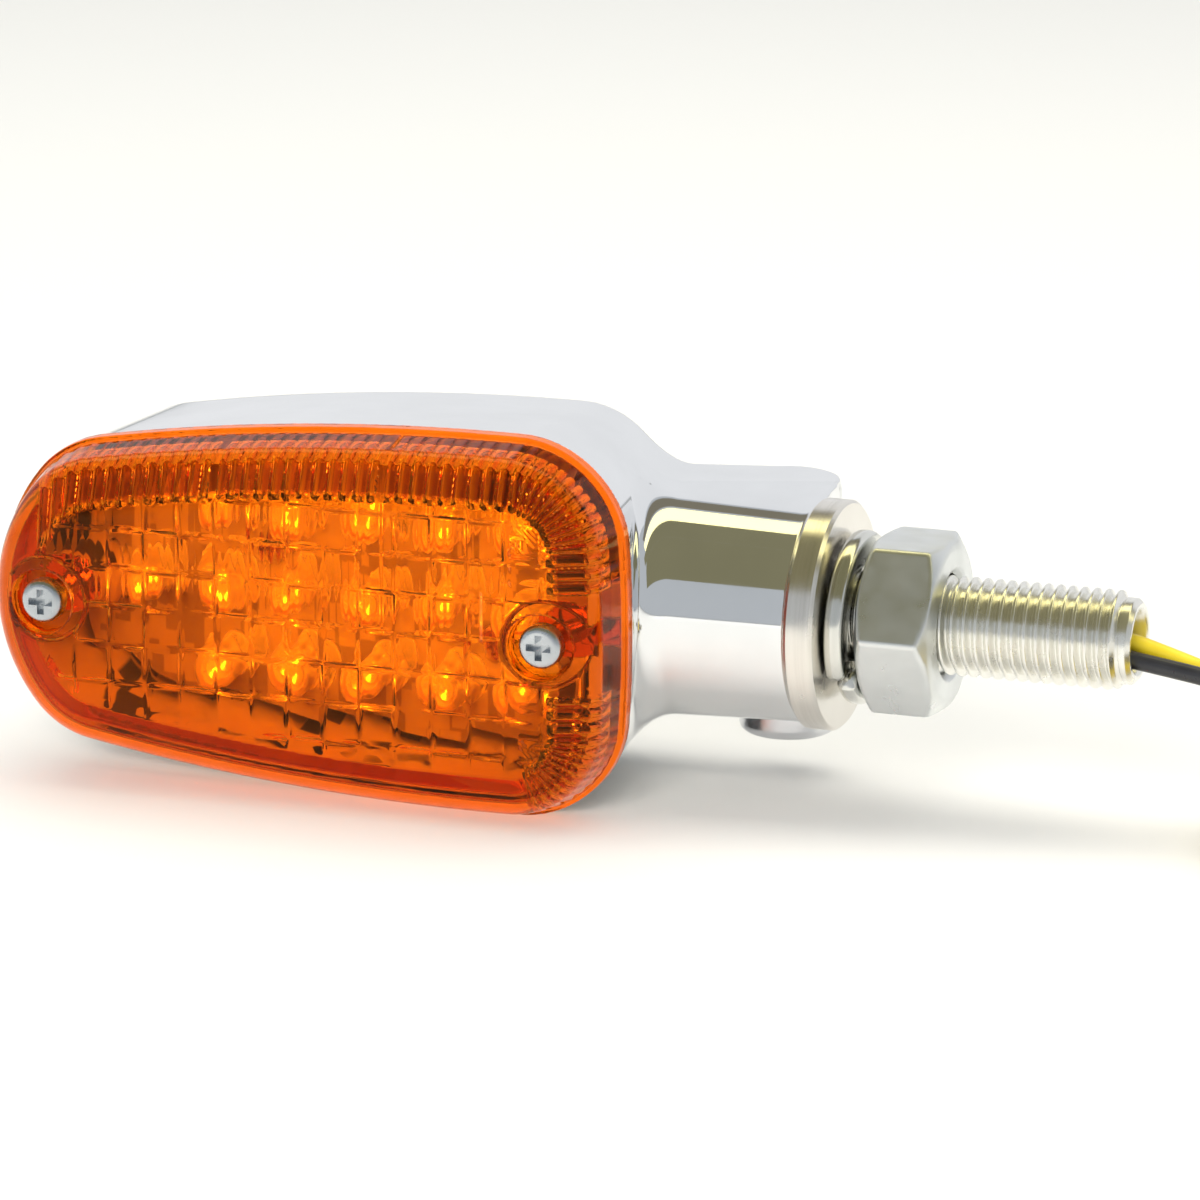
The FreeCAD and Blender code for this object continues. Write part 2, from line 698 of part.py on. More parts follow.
def cord(node, route, radius):
    """A round cord along straight runs joined by tangent arcs as large as the runs allow."""
    points = [V(*p) for p in route]
    edges = []
    bends = []
    length = 0.0
    start = points[0]
    for before, point, after in zip(points, points[1:], points[2:]):
        into = (point - before).normalize()
        out = (after - point).normalize()
        turn = into.getAngle(out)
        shorter = min((point - before).Length, (after - point).Length)
        back = 0.45 * shorter
        bend = back / math.tan(turn / 2)
        enter = point - into * back
        leave = point + out * back
        inward = (out - into).normalize()
        middle = point + inward * (bend / math.cos(turn / 2) - bend)
        edges.append(Part.LineSegment(start, enter).toShape())
        edges.append(Part.Arc(enter, middle, leave).toShape())
        length += (enter - start).Length + bend * turn
        bends.append(bend)
        start = leave
    edges.append(Part.LineSegment(start, points[-1]).toShape())
    length += (points[-1] - start).Length
    disc = Part.Wire(Part.makeCircle(radius, points[0], points[1] - points[0]))
    tube = Part.Wire(edges).makePipeShell([disc], True, False)
    expected = math.pi * radius * radius * length
    print(
        "%s: %.1f mm long, bend radii %s mm, volume %.4f of section times length"
        % (node, length, ", ".join("%.1f" % b for b in bends), tube.Volume / expected)
    )
    return tube


def coil_ring(radius, low, high):
    """The outer shape of one lead's coiled turns."""
    base = V(COIL_X, 0, FLOOR_Z + low)
    outer = Part.makeCylinder(radius + COIL_HALF_W, high - low, base)
    return outer.cut(Part.makeCylinder(radius - COIL_HALF_W, high - low, base))


def lead_tie():
    """A flat tie round both coils."""
    near = -(BLACK_COIL_R - COIL_HALF_W - 0.12)
    far = -(YELLOW_COIL_R + COIL_HALF_W + 0.12)
    low = FLOOR_Z + COIL_LIFT - 0.03
    high = FLOOR_Z + COIL_TOP + 0.05
    left = COIL_X - TIE_HALF_W
    right = COIL_X + TIE_HALF_W
    outer = box((left, far - TIE_T, low - TIE_T), (right, near + TIE_T, high + TIE_T))
    return outer.cut(box((left - PAST, far, low), (right + PAST, near, high)))


def bullet(end):
    """The plated bullet of a connector whose insulator starts at the lead's end."""
    x, y, z = end
    stations = [V(x, y - step, z) for step in BULLET_STEPS]
    barrel = cylinder(BULLET_BARREL_R, stations[0], stations[1])
    neck = cylinder(BULLET_NECK_R, stations[1], stations[2])
    head = cylinder(BULLET_HEAD_R, stations[2], stations[3])
    rims = [e for e in head.Edges if len(e.Vertexes) == 1]
    return barrel.fuse([neck, head.makeFillet(BULLET_HEAD_R * 0.46, rims)])


def bullet_sleeve(end):
    x, y, z = end
    sleeve = cylinder(BULLET_SLEEVE_R, V(x, y, z), V(x, y - BULLET_SLEEVE_LENGTH, z))
    sleeve = sleeve.makeFillet(0.4, [e for e in sleeve.Edges if len(e.Vertexes) == 1])
    socket_end = V(x, y - BULLET_SLEEVE_LENGTH - PAST, z)
    return sleeve.cut(cylinder(BULLET_BARREL_R, V(x, y - BULLET_STEPS[0], z), socket_end))


def main():
    os.makedirs("parts", exist_ok=True)
    export(housing(), "housing")
    export(lens(), "lens")
    export(lens_gasket(), "lens_gasket")
    export(Part.makeCompound(lens_screws()), "lens_screws")
    export(led_board(), "led_board")
    export(Part.makeCompound([emitter(x, z) for x, z in led_places()]), "led_emitters")
    export(Part.makeCompound(board_screws()), "board_screws")
    export(Part.makeCompound(resistors()), "resistors")
    export(axial_part(*DIODE_PLACE, DIODE_R, DIODE_LENGTH), "polarity_diode")
    export(neck_grommet(), "neck_grommet")
    export(clamp_screw(), "clamp_screw")
    export(cord("lead_black_inner", BLACK_INNER, LEAD_R), "lead_black_inner")
    export(cord("lead_yellow_inner", YELLOW_INNER, LEAD_R), "lead_yellow_inner")
    export(swivel_stem(), "swivel_stem")
    export(swivel_seal(), "swivel_seal")
    export(mounting_stud(), "mounting_stud")
    export(spring_washer(), "spring_washer")
    export(hex_nut(), "hex_nut")
    export(along_x(SLEEVE_R, *SLEEVE_X), "lead_sleeve")
    export(cord("lead_black", BLACK_ROUTE, LEAD_R), "lead_black")
    export(cord("lead_yellow", YELLOW_ROUTE, LEAD_R), "lead_yellow")
    export(coil_ring(BLACK_COIL_R, COIL_LIFT, COIL_TOP), "lead_black_coil")
    export(coil_ring(YELLOW_COIL_R, YELLOW_COIL_LIFT, COIL_TOP), "lead_yellow_coil")
    export(cord("lead_black_tail", BLACK_TAIL, LEAD_R), "lead_black_tail")
    export(cord("lead_yellow_tail", YELLOW_TAIL, LEAD_R), "lead_yellow_tail")
    export(lead_tie(), "lead_tie")
    for name, tail in (("black", BLACK_TAIL), ("yellow", YELLOW_TAIL)):
        export(bullet(tail[-1]), "bullet_%s" % name)
        export(bullet_sleeve(tail[-1]), "bullet_sleeve_%s" % name)


main()
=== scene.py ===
"""Looks of the LED turn signal: chromed head with an amber lens on a hollow threaded stem."""

import itertools
import math

import bpy
import numpy as np
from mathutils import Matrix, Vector


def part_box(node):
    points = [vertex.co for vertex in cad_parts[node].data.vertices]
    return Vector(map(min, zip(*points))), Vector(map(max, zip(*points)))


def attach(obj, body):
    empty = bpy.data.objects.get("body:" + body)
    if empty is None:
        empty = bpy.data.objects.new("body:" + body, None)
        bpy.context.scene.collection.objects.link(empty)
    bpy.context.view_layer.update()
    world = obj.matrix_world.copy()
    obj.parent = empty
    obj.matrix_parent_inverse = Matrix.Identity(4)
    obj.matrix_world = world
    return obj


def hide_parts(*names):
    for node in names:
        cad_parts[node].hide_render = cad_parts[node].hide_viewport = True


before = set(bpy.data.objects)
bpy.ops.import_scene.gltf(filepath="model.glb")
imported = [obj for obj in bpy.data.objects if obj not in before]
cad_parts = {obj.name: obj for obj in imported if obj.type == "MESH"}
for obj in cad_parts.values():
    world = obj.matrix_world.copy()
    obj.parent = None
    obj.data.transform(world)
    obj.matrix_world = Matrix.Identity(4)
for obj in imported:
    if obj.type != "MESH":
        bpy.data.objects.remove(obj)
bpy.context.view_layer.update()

MM = 0.001


def box_mm(node):
    """Lowest and highest corner of a CAD node, in millimetres."""
    return [np.array(corner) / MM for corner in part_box(node)]


# Driving dimensions in millimetres, read from the frame where a node has them
(NOSE_X, _, _), (STEM_END_X, _, HALF_HEIGHT) = box_mm("lens")
(_, RIM_Y, _), (NECK_END_X, BOSS_BACK_Y, _) = box_mm("housing")
LENS_FRONT_Y, LENS_SEAT_Y = (corner[1] for corner in box_mm("lens"))
STUD_END_X = box_mm("mounting_stud")[1][0]
FLOOR_Z = -HALF_HEIGHT
CROWN_X = -33.0
NOSE_R, SHOULDER_R, CROWN_R, CORNER_R, END_R = 19.0, 11.0, 240.0, 10.0, 150.0

# ---------------------------------------------------------------- camera, floor and lights

AZIMUTH = math.radians(19.3)
ELEVATION = math.radians(15.0)
DISTANCE = 0.7
LOOK_AT = Vector((-0.0234, -0.0078, 0.0015))
FOCAL_LENGTH_MM, SENSOR_MM = 209.2, 36.0
FLOOR_SIZE = 12.0


def add_camera():
    data = bpy.data.cameras.new("photo_camera")
    data.lens = FOCAL_LENGTH_MM
    data.sensor_width = SENSOR_MM
    data.clip_start = 0.01
    camera = bpy.data.objects.new("photo_camera", data)
    level = math.cos(ELEVATION)
    back = Vector((math.sin(AZIMUTH) * level, -math.cos(AZIMUTH) * level, math.sin(ELEVATION)))
    camera.location = LOOK_AT + DISTANCE * back
    camera.rotation_euler = (math.pi / 2 - ELEVATION, 0.0, AZIMUTH)
    bpy.context.scene.collection.objects.link(camera)
    bpy.context.scene.camera = camera


def link(obj):
    bpy.context.scene.collection.objects.link(obj)
    return obj


def sheet(name, size, material):
    """A flat rectangle about the origin, facing up."""
    w, h = size[0] / 2, size[1] / 2
    mesh = bpy.data.meshes.new(name)
    mesh.from_pydata([(-w, -h, 0), (w, -h, 0), (w, h, 0), (-w, h, 0)], [], [(0, 1, 2, 3)])
    mesh.materials.append(material)
    return link(bpy.data.objects.new(name, mesh))


def card(name, centre, size, aim, material):
    """A flat sheet of the studio, facing a point, seen only in gloss and through the lens."""
    obj = sheet(name, size, material)
    obj.location = centre
    obj.rotation_euler = (Vector(aim) - Vector(centre)).to_track_quat("Z", "Y").to_euler()
    obj.visible_camera = False
    obj.visible_diffuse = False
    obj.visible_shadow = False


def glow(name, colour, strength):
    """A material that only shines."""
    material = bpy.data.materials.new(name)
    material.use_nodes = True
    nodes = material.node_tree.nodes
    nodes.clear()
    emission = nodes.new("ShaderNodeEmission")
    emission.inputs["Color"].default_value = (*colour, 1)
    emission.inputs["Strength"].default_value = strength
    output = nodes.new("ShaderNodeOutputMaterial")
    material.node_tree.links.new(emission.outputs[0], output.inputs["Surface"])
    return material


def area_light(name, centre, size, power, colour):
    """A rectangular lamp that faces the origin."""
    data = bpy.data.lights.new(name, "AREA")
    data.shape = "RECTANGLE"
    data.size, data.size_y = size
    data.energy = power
    data.color = colour
    obj = link(bpy.data.objects.new(name, data))
    obj.location = centre
    obj.rotation_euler = (-Vector(centre)).to_track_quat("-Z", "Y").to_euler()
    return obj


def light_only(lamp, pieces):
    """Lets a lamp light these pieces and nothing else."""
    lit = bpy.data.collections.new(lamp.name + "_lit")
    for piece in pieces:
        lit.objects.link(piece)
    lamp.light_linking.receiver_collection = lit


def add_floor():
    paper = bpy.data.materials.new("paper_floor")
    paper.use_nodes = True
    shader = paper.node_tree.nodes["Principled BSDF"]
    shader.inputs["Base Color"].default_value = (0.82, 0.81, 0.78, 1)
    shader.inputs["Roughness"].default_value = 0.9
    floor = sheet("floor", (FLOOR_SIZE, FLOOR_SIZE), paper)
    floor.location.z = FLOOR_Z * MM


def add_lamps():
    """A wide soft lamp above and one in front; neither shows in gloss."""
    lamps = (
        area_light("softbox", (0.0, 0.13, 0.667), (0.9, 0.50), 4.2, (1.0, 0.97, 0.90)),
        area_light("front_light", (0.10, -0.9, 0.55), (0.5, 0.4), 7.0, (1.0, 0.98, 0.94)),
    )
    for lamp in lamps:
        lamp.visible_glossy = False


def add_reflections():
    """What the gloss sees: a dark ceiling, a bright strip overhead, a gap and a white back wall."""
    felt = glow("dark_felt", (0.232, 0.217, 0.128), 1.0)
    trim = glow("dark_trim", (0.22, 0.20, 0.15), 1.0)
    wall = glow("white_wall", (0.95, 0.96, 0.98), 0.9)
    soft = glow("soft_light", (1.0, 0.91, 0.45), 2.1)
    part = (0.0, 0.0, 0.0)
    above_part = (0.0, 0.0, 0.5)
    card("softbox_face", (0.0, 0.235, 0.66), (2.2, 0.25), part, soft)
    card("dark_middle", (0.0, 0.01, 0.668), (2.6, 0.25), part, felt)
    card("dark_ceiling", (0.0, -0.40, 0.64), (2.6, 0.62), part, felt)
    card("dark_gap", (0.0, 0.572, 0.694), (2.6, 0.22), part, trim)
    card("back_wall", (0.0, 1.4, 0.58), (3.4, 1.16), above_part, wall)


def add_studio():
    scene = bpy.context.scene
    scene.view_settings.view_transform = "Standard"
    world = bpy.data.worlds.new("studio")
    world.use_nodes = True
    world.node_tree.nodes["Background"].inputs["Color"].default_value = (0.82, 0.86, 0.90, 1)
    world.node_tree.nodes["Background"].inputs["Strength"].default_value = 0.62
    scene.world = world
    add_floor()
    add_lamps()
    add_reflections()


add_camera()
add_studio()

# ---------------------------------------------------------------- materials


class Nodes:
    """A material's node tree, with short ways to add what this script's materials share."""

    def __init__(self, name):
        self.material = bpy.data.materials.new(name)
        self.material.use_nodes = True
        self.tree = self.material.node_tree
        self.shader = self.tree.nodes["Principled BSDF"]
        self.place = self.tree.nodes.new("ShaderNodeTexCoord").outputs["Object"]

    def join(self, out, into):
        self.tree.links.new(out, into)

    def stretched(self, scale):
        """Object coordinates scaled by axis."""
        mapping = self.tree.nodes.new("ShaderNodeMapping")
        mapping.inputs["Scale"].default_value = scale
        self.join(self.place, mapping.inputs["Vector"])
        return mapping.outputs["Vector"]

    def noise(self, scale, detail=3.0, vector=None):
        node = self.tree.nodes.new("ShaderNodeTexNoise")
        node.inputs["Scale"].default_value = scale
        node.inputs["Detail"].default_value = detail
        self.join(vector or self.place, node.inputs["Vector"])
        return node.outputs["Fac"]

    def spread(self, value, low, high, start=0.3, stop=0.7):
        """The value mapped from start..stop to low..high."""
        node = self.tree.nodes.new("ShaderNodeMapRange")
        node.inputs["From Min"].default_value = start
        node.inputs["From Max"].default_value = stop
        node.inputs["To Min"].default_value = low
        node.inputs["To Max"].default_value = high
        self.join(value, node.inputs["Value"])
        return node.outputs["Result"]

    def blend(self, factor, first, second):
        """A colour between two, where each is a colour or another node's output."""
        node = self.tree.nodes.new("ShaderNodeMix")
        node.data_type = "RGBA"
        sockets = [s for s in node.inputs if s.type == "RGBA"]
        for socket, value in zip(sockets, (first, second)):
            if isinstance(value, tuple):
                socket.default_value = (*value, 1)
            else:
                self.join(value, socket)
        self.join(factor, node.inputs["Factor"])
        return [s for s in node.outputs if s.type == "RGBA"][0]

    def stored(self, name):
        """A value that each point of the mesh holds."""
        node = self.tree.nodes.new("ShaderNodeAttribute")
        node.attribute_name = name
        return node.outputs["Fac"]

    def blocks(self, scale, share):
        """1 in square patches of a Voronoi pattern and 0 between them."""
        node = self.tree.nodes.new("ShaderNodeTexVoronoi")
        node.distance = "CHEBYCHEV"
        node.inputs["Scale"].default_value = scale
        self.join(self.place, node.inputs["Vector"])
        return self.spread(node.outputs["Distance"], 1.0, 0.0, share, share + 0.04)

    def colour(self, out):
        self.join(out, self.shader.inputs["Base Color"])

    def roughness(self, out):
        self.join(out, self.shader.inputs["Roughness"])

    def bump(self, height, depth_mm, strength=1.0):
        node = self.tree.nodes.new("ShaderNodeBump")
        node.inputs["Distance"].default_value = depth_mm * MM
        node.inputs["Strength"].default_value = strength
        self.join(height, node.inputs["Height"])
        self.join(node.outputs["Normal"], self.shader.inputs["Normal"])

    def set(self, **values):
        for name, value in values.items():
            self.shader.inputs[name.replace("_", " ")].default_value = value


def metal(name, light, dark, rough, patch=250.0, grain=2500.0, relief=0.004):
    """Plated metal: cloudy colour, uneven gloss and a fine grain."""
    n = Nodes(name)
    n.set(Metallic=1.0)
    n.colour(n.blend(n.spread(n.noise(patch), 0.0, 1.0), light, dark))
    n.roughness(n.spread(n.noise(patch * 2.3, 5.0), *rough))
    n.bump(n.noise(grain, 2.0), relief)
    return n.material


def turned_metal(name, light, dark, rough, lines=2600.0, relief=0.006):
    """Metal turned on a lathe about X: fine rings round the axis."""
    n = Nodes(name)
    n.set(Metallic=1.0)
    rings = n.noise(1.0, 4.0, n.stretched((lines, 40.0, 40.0)))
    n.colour(n.blend(n.spread(rings, 0.0, 1.0), light, dark))
    n.roughness(n.spread(n.noise(300.0, 4.0), *rough))
    n.bump(rings, relief)
    return n.material


def plastic(name, colour, second, rough, patch=300.0, grain=3000.0, relief=0.01, **sockets):
    """Moulded plastic or rubber: two near colours in patches, uneven gloss and a fine grain."""
    n = Nodes(name)
    n.set(**sockets)
    n.colour(n.blend(n.spread(n.noise(patch), 0.0, 1.0), colour, second))
    n.roughness(n.spread(n.noise(patch * 1.7, 4.0), *rough))
    n.bump(n.noise(grain, 3.0), relief)
    return n.material


def chrome():
    """Chrome outside; dull inside the casting, where plating hardly reaches; the inside is tan with
    near-black square patches.
    """
    n = Nodes("chrome_shell")
    dull = n.stored("inside")
    plated = n.blend(n.spread(n.noise(120.0), 0.0, 1.0), (0.86, 0.87, 0.88), (0.80, 0.81, 0.82))
    inside_colour = n.blend(n.blocks(120.0, 0.26), (0.72, 0.62, 0.42), (0.05, 0.045, 0.03))
    n.colour(n.blend(dull, plated, inside_colour))
    n.join(n.spread(dull, 1.0, 0.1, 0.0, 1.0), n.shader.inputs["Metallic"])
    gloss = n.tree.nodes.new("ShaderNodeMath")
    gloss.operation = "ADD"
    n.join(n.spread(n.noise(180.0, 5.0), 0.035, 0.075), gloss.inputs[0])
    n.join(n.spread(dull, 0.0, 0.5, 0.0, 1.0), gloss.inputs[1])
    n.roughness(gloss.outputs["Value"])
    n.bump(n.noise(70.0, 2.0), 0.02, 0.35)
    return n.material


def amber_glass():
    """Clear amber plastic, with painted shade: darker where the lens stores a high shade value."""
    n = Nodes("amber_lens")
    n.set(IOR=1.49, Transmission_Weight=1.0)
    n.set(Specular_Tint=(0.6, 0.3, 0.1, 1.0))
    amber = n.blend(n.spread(n.noise(90.0), 0.0, 1.0), (0.87, 0.205, 0.003), (0.83, 0.185, 0.003))
    # Painted shade: the dark red is blended in between the ribs and on the lower bands of the lens
    n.colour(n.blend(n.stored("painted_lens_shade"), amber, (0.53, 0.05, 0.003)))
    n.roughness(n.spread(n.noise(400.0, 4.0), 0.02, 0.06))
    n.bump(n.noise(60.0, 2.0), 0.02, 0.4)
    return n.material


def board_face():
    """Pale solder resist with darker traces between its blocks."""
    n = Nodes("board")
    n.colour(n.blend(n.blocks(230.0, 0.42), (0.28, 0.25, 0.15), (0.47, 0.45, 0.37)))
    n.roughness(n.spread(n.noise(600.0), 0.3, 0.5))
    n.bump(n.noise(1500.0), 0.01)
    return n.material


def black_rubber():
    shades = (0.018, 0.018, 0.019), (0.03, 0.03, 0.031)
    return plastic("black_rubber", *shades, (0.5, 0.75), patch=400.0, grain=2600.0, relief=0.02)


MATERIALS = {
    "lens_gasket": plastic("gasket_rubber", (0.90, 0.42, 0.12), (0.82, 0.36, 0.09), (0.35, 0.5)),
    "lens_screws": metal("zinc_screw", (0.62, 0.65, 0.68), (0.42, 0.45, 0.48), (0.2, 0.34)),
    "led_board": board_face(),
    "board_screws": metal("zinc_screw_small", (0.70, 0.71, 0.72), (0.58, 0.58, 0.58), (0.2, 0.35)),
    "resistors": plastic("resistor_body", (0.70, 0.55, 0.34), (0.60, 0.46, 0.28), (0.3, 0.45)),
    "polarity_diode": plastic("diode_body", (0.02, 0.02, 0.02), (0.04, 0.04, 0.04), (0.3, 0.5)),
    "neck_grommet": black_rubber(),
    "swivel_seal": black_rubber(),
    "clamp_screw": metal("chrome_screw", (0.74, 0.75, 0.78), (0.66, 0.67, 0.70), (0.1, 0.2)),
    "swivel_stem": turned_metal("satin_collar", (0.84, 0.81, 0.76), (0.74, 0.71, 0.66), (0.17, 0.28)),
    "lead_sleeve": plastic("sleeve", (0.02, 0.02, 0.02), (0.035, 0.035, 0.035), (0.45, 0.6)),
    "lead_black_inner": plastic("black_wire_inner", (0.02, 0.02, 0.022), (0.03, 0.03, 0.033), (0.3, 0.4)),
    "lead_yellow_inner": plastic("yellow_wire_inner", (0.84, 0.66, 0.04), (0.76, 0.58, 0.03), (0.3, 0.4)),
    "bullet_black": turned_metal("bullet_metal", (0.82, 0.76, 0.62), (0.70, 0.62, 0.46), (0.2, 0.35)),
    "bullet_sleeve_black": plastic(
        "bullet_insulator",
        (0.80, 0.80, 0.78),
        (0.72, 0.72, 0.70),
        (0.25, 0.4),
        Transmission_Weight=0.45,
        IOR=1.5,
    ),
}
MATERIALS["bullet_yellow"] = MATERIALS["bullet_black"]
MATERIALS["bullet_sleeve_yellow"] = MATERIALS["bullet_sleeve_black"]


for node_name, finish in MATERIALS.items():
    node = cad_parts[node_name]
    for material_slot in node.material_slots:
        material_slot.material = finish

# ---------------------------------------------------------------- surfaces from distance fields


def round_max(a, b, r):
    """Intersection of two fields, its outer edge rounded to the radius r."""
    rounded = np.hypot(np.maximum(a + r, 0), np.maximum(b + r, 0))
    return rounded + np.minimum(np.maximum(a, b) + r, 0) - r


def round_min(a, b, r):
    """Union of two fields with a fillet of radius r in their inner corner."""
    return -round_max(-a, -b, r)


def crossings(values, inside):
    """For each cell of a grid, the sum and the number of the points where its edges cross zero."""
    cells = tuple(n - 1 for n in values.shape)
    total = np.zeros((*cells, 3))
    count = np.zeros(cells)

    def at(corner, grid):
        return grid[tuple(slice(c, c + n) for c, n in zip(corner, cells))]

    for axis in range(3):
        for corner in itertools.product((0, 1), repeat=3):
            if corner[axis]:
                continue
            other = tuple(1 if k == axis else c for k, c in enumerate(corner))
            a, b = at(corner, values), at(other, values)
            crosses = at(corner, inside) != at(other, inside)
            total[..., axis] += np.where(crosses, a / np.where(crosses, a - b, 1.0), 0.0)
            for k in range(3):
                total[..., k] += crosses * corner[k]
            count += crosses
    return total, count


def quads_across(inside, index):
    """A quad for each grid edge that crosses the surface, from the four cells round the edge."""
    quads = []
    for axis in range(3):
        u, v = (axis + 1) % 3, (axis + 2) % 3
        here = [slice(1, -1)] * 3
        here[axis] = slice(0, -1)
        there = list(here)
        there[axis] = slice(1, None)
        first, second = inside[tuple(here)], inside[tuple(there)]
        for mask, order in ((first & ~second, 1), (~first & second, -1)):
            corner = np.argwhere(mask)
            corner[:, u] += 1
            corner[:, v] += 1
            ring = []
            for du, dv in ((0, 0), (1, 0), (1, 1), (0, 1)):
                cell = corner.copy()
                cell[:, u] -= du
                cell[:, v] -= dv
                ring.append(index[tuple(cell.T)])
            quads.append(np.stack(ring, 1)[:, ::order])
    return np.concatenate(quads)


def net(field, low, high, step):
    """Points and quads of the surface where field(x, y, z) is zero."""
    axes = [np.arange(a, b + step, step) for a, b in zip(low, high)]
    values = field(*np.meshgrid(*axes, indexing="ij"))
    inside = values < 0
    total, count = crossings(values, inside)
    active = count > 0
    index = np.full(active.shape, -1)
    index[active] = np.arange(active.sum())
    points = (np.argwhere(active) + total[active] / count[active][:, None]) * step + np.array(low)
    return points, quads_across(inside, index)


def slope(field, points, reach=0.02):
    """The field's gradient at each point."""
    parts = []
    for step in np.eye(3) * reach:
        parts.append((field(*(points + step).T) - field(*(points - step).T)) / (2 * reach))
    return np.stack(parts, 1)


def settle(field, points, limit):
    """Moves points onto the field's surface, none further than the limit."""
    start = points
    for _ in range(4):
        way = slope(field, points)
        size = np.maximum((way * way).sum(1), 0.05)
        points = points - way * (field(*points.T) / size)[:, None]
        away = points - start
        far = np.maximum(np.linalg.norm(away, axis=1), 1e-9)
        points = start + away * np.minimum(1.0, limit / far)[:, None]
    return points


def add_mesh(name, points, faces, material, body, slot, nodes=(), normals=None):
    """A piece from points in millimetres that rides on a body and stands for CAD nodes."""
    mesh = bpy.data.meshes.new(name)
    mesh.from_pydata((np.asarray(points) * MM).tolist(), [], [list(map(int, f)) for f in faces])
    mesh.validate()
    mesh.materials.append(material)
    for polygon in mesh.polygons:
        polygon.use_smooth = True
    if normals is not None:
        mesh.normals_split_custom_set_from_vertices(normals.tolist())
    obj = link(bpy.data.objects.new(name, mesh))
    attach(obj, body)
    if nodes:
        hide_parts(*nodes)
    return obj


def add_skin(name, field, low, high, step, material, body, slot, nodes):
    """A piece whose surface is a field's zero, shaded by the field's own slope."""
    points, quads = net(field, low, high, step)
    points = settle(field, points, step * 0.8)
    ways = slope(field, points)
    ways /= np.maximum(np.linalg.norm(ways, axis=1), 1e-9)[:, None]
    return add_mesh(name, points, quads, material, body, slot, nodes, ways)


def mark(obj, name, value_at):
    """Stores a value at each point of a mesh, worked out from the point's place in millimetres."""
    x, y, z = (np.array([v.co[:] for v in obj.data.vertices]) / MM).T
    attribute = obj.data.attributes.new(name, "FLOAT", "POINT")
    attribute.data.foreach_set("value", value_at(x, y, z).astype(np.float32))


# ---------------------------------------------------------------- lamp head

BACK_Y = 12.0
BACK_TAPER = 1.8
RIM_INSET = 0.3
DRAFT = 0.055
WALL = 1.9
CAVITY_EDGE_R = 3.0
BACK_EDGE_R = 5.0
NECK_R, NECK_DRAFT, NECK_ROOT_X = 11.0, 0.038, -26.0
NECK_FILLET_R = 3.2
CLAMP_X, CLAMP_Y, CLAMP_R, CLAMP_TOP = -8.5, 8.0, 5.3, 11.9
CLAMP_EDGE_R = 1.4
WEB_ROOT_Y, WEB_TILT = 11.9, math.radians(6.5)
WEB_ROOT_EDGE_R, WEB_CLAMP_EDGE_R = 4.5, 1.5
SPIGOT_BORE_R, SPIGOT_BORE_X = 9.05, -15.5
SLIT_WIDTH, SLIT_FRONT_Y, SLIT_END_X = 1.5, 2.0, -14.5
NECK_EDGE_R, RIM_EDGE_R, SLIT_EDGE_R = 0.4, 0.3, 0.2
LENS_SCREW_X = (-78.4, -24.9)
LENS_POST_R, SHORT_POST_Y = 3.0, -4.6
POST_WEB_T = 3.0
POST_SINK = 0.5  # how far the posts reach into the walls
BOARD_SCREWS = ((-59.7, 4.1), (-35.1, -4.1))
BOARD_POST_R, BOARD_POST_Y = 2.2, -2.4


def touching_centre(c1, r1, c2, r2, r):
    """Centre of the arc of radius r that touches two larger circles from inside, near the nose."""
    d1, d2 = r1 - r, r2 - r
    dx, dz = c2[0] - c1[0], c2[1] - c1[1]
    d = math.hypot(dx, dz)
    a = (d1 * d1 - d2 * d2 + d * d) / (2 * d)
    h = math.sqrt(d1 * d1 - a * a)
    centres = []
    for s in (1, -1):
        centres.append((c1[0] + (a * dx + s * h * dz) / d, c1[1] + (a * dz - s * h * dx) / d))
    return min(centres)


NOSE = (NOSE_X + NOSE_R, 0.0)
CROWN = (CROWN_X, HALF_HEIGHT - CROWN_R)
SHOULDER = touching_centre(NOSE, NOSE_R, CROWN, CROWN_R, SHOULDER_R)
CORNER = (STEM_END_X - CORNER_R, HALF_HEIGHT - CORNER_R)


def gap_from(centre, radius, x, z):
    return np.hypot(x - centre[0], z - centre[1]) - radius


def outline(x, y, z):
    """Distance out of the head's rim outline; behind the rim the stem end tapers."""
    z = np.abs(z)
    end_x = STEM_END_X - BACK_TAPER * np.maximum(y - RIM_Y, 0) / (BACK_Y - RIM_Y)
    nose = gap_from(NOSE, NOSE_R, x, z)
    crown = gap_from(CROWN, CROWN_R, x, z)
    bearing = np.arctan2(z - SHOULDER[1], x - SHOULDER[0])
    first = math.atan2(SHOULDER[1] - CROWN[1], SHOULDER[0] - CROWN[0])
    last = math.atan2(SHOULDER[1] - NOSE[1], SHOULDER[0] - NOSE[0])
    on_shoulder = (bearing > first) & (bearing < last)
    by_nose = (bearing >= last) | (bearing < (first + last) / 2 - math.pi)
    left = np.where(on_shoulder, gap_from(SHOULDER, SHOULDER_R, x, z), np.where(by_nose, nose, crown))
    end = np.hypot(x - end_x + END_R, z) - END_R
    return round_max(left, end, CORNER_R)


def slab(along, low, high):
    """Distance out of the space between two parallel planes."""
    return np.abs(along - (low + high) / 2) - (high - low) / 2


def rod(a, b, radius, low, high, along):
    """A cylinder: a and b across it, with its ends at low and high."""
    return np.maximum(np.hypot(a, b) - radius, slab(along, low, high))


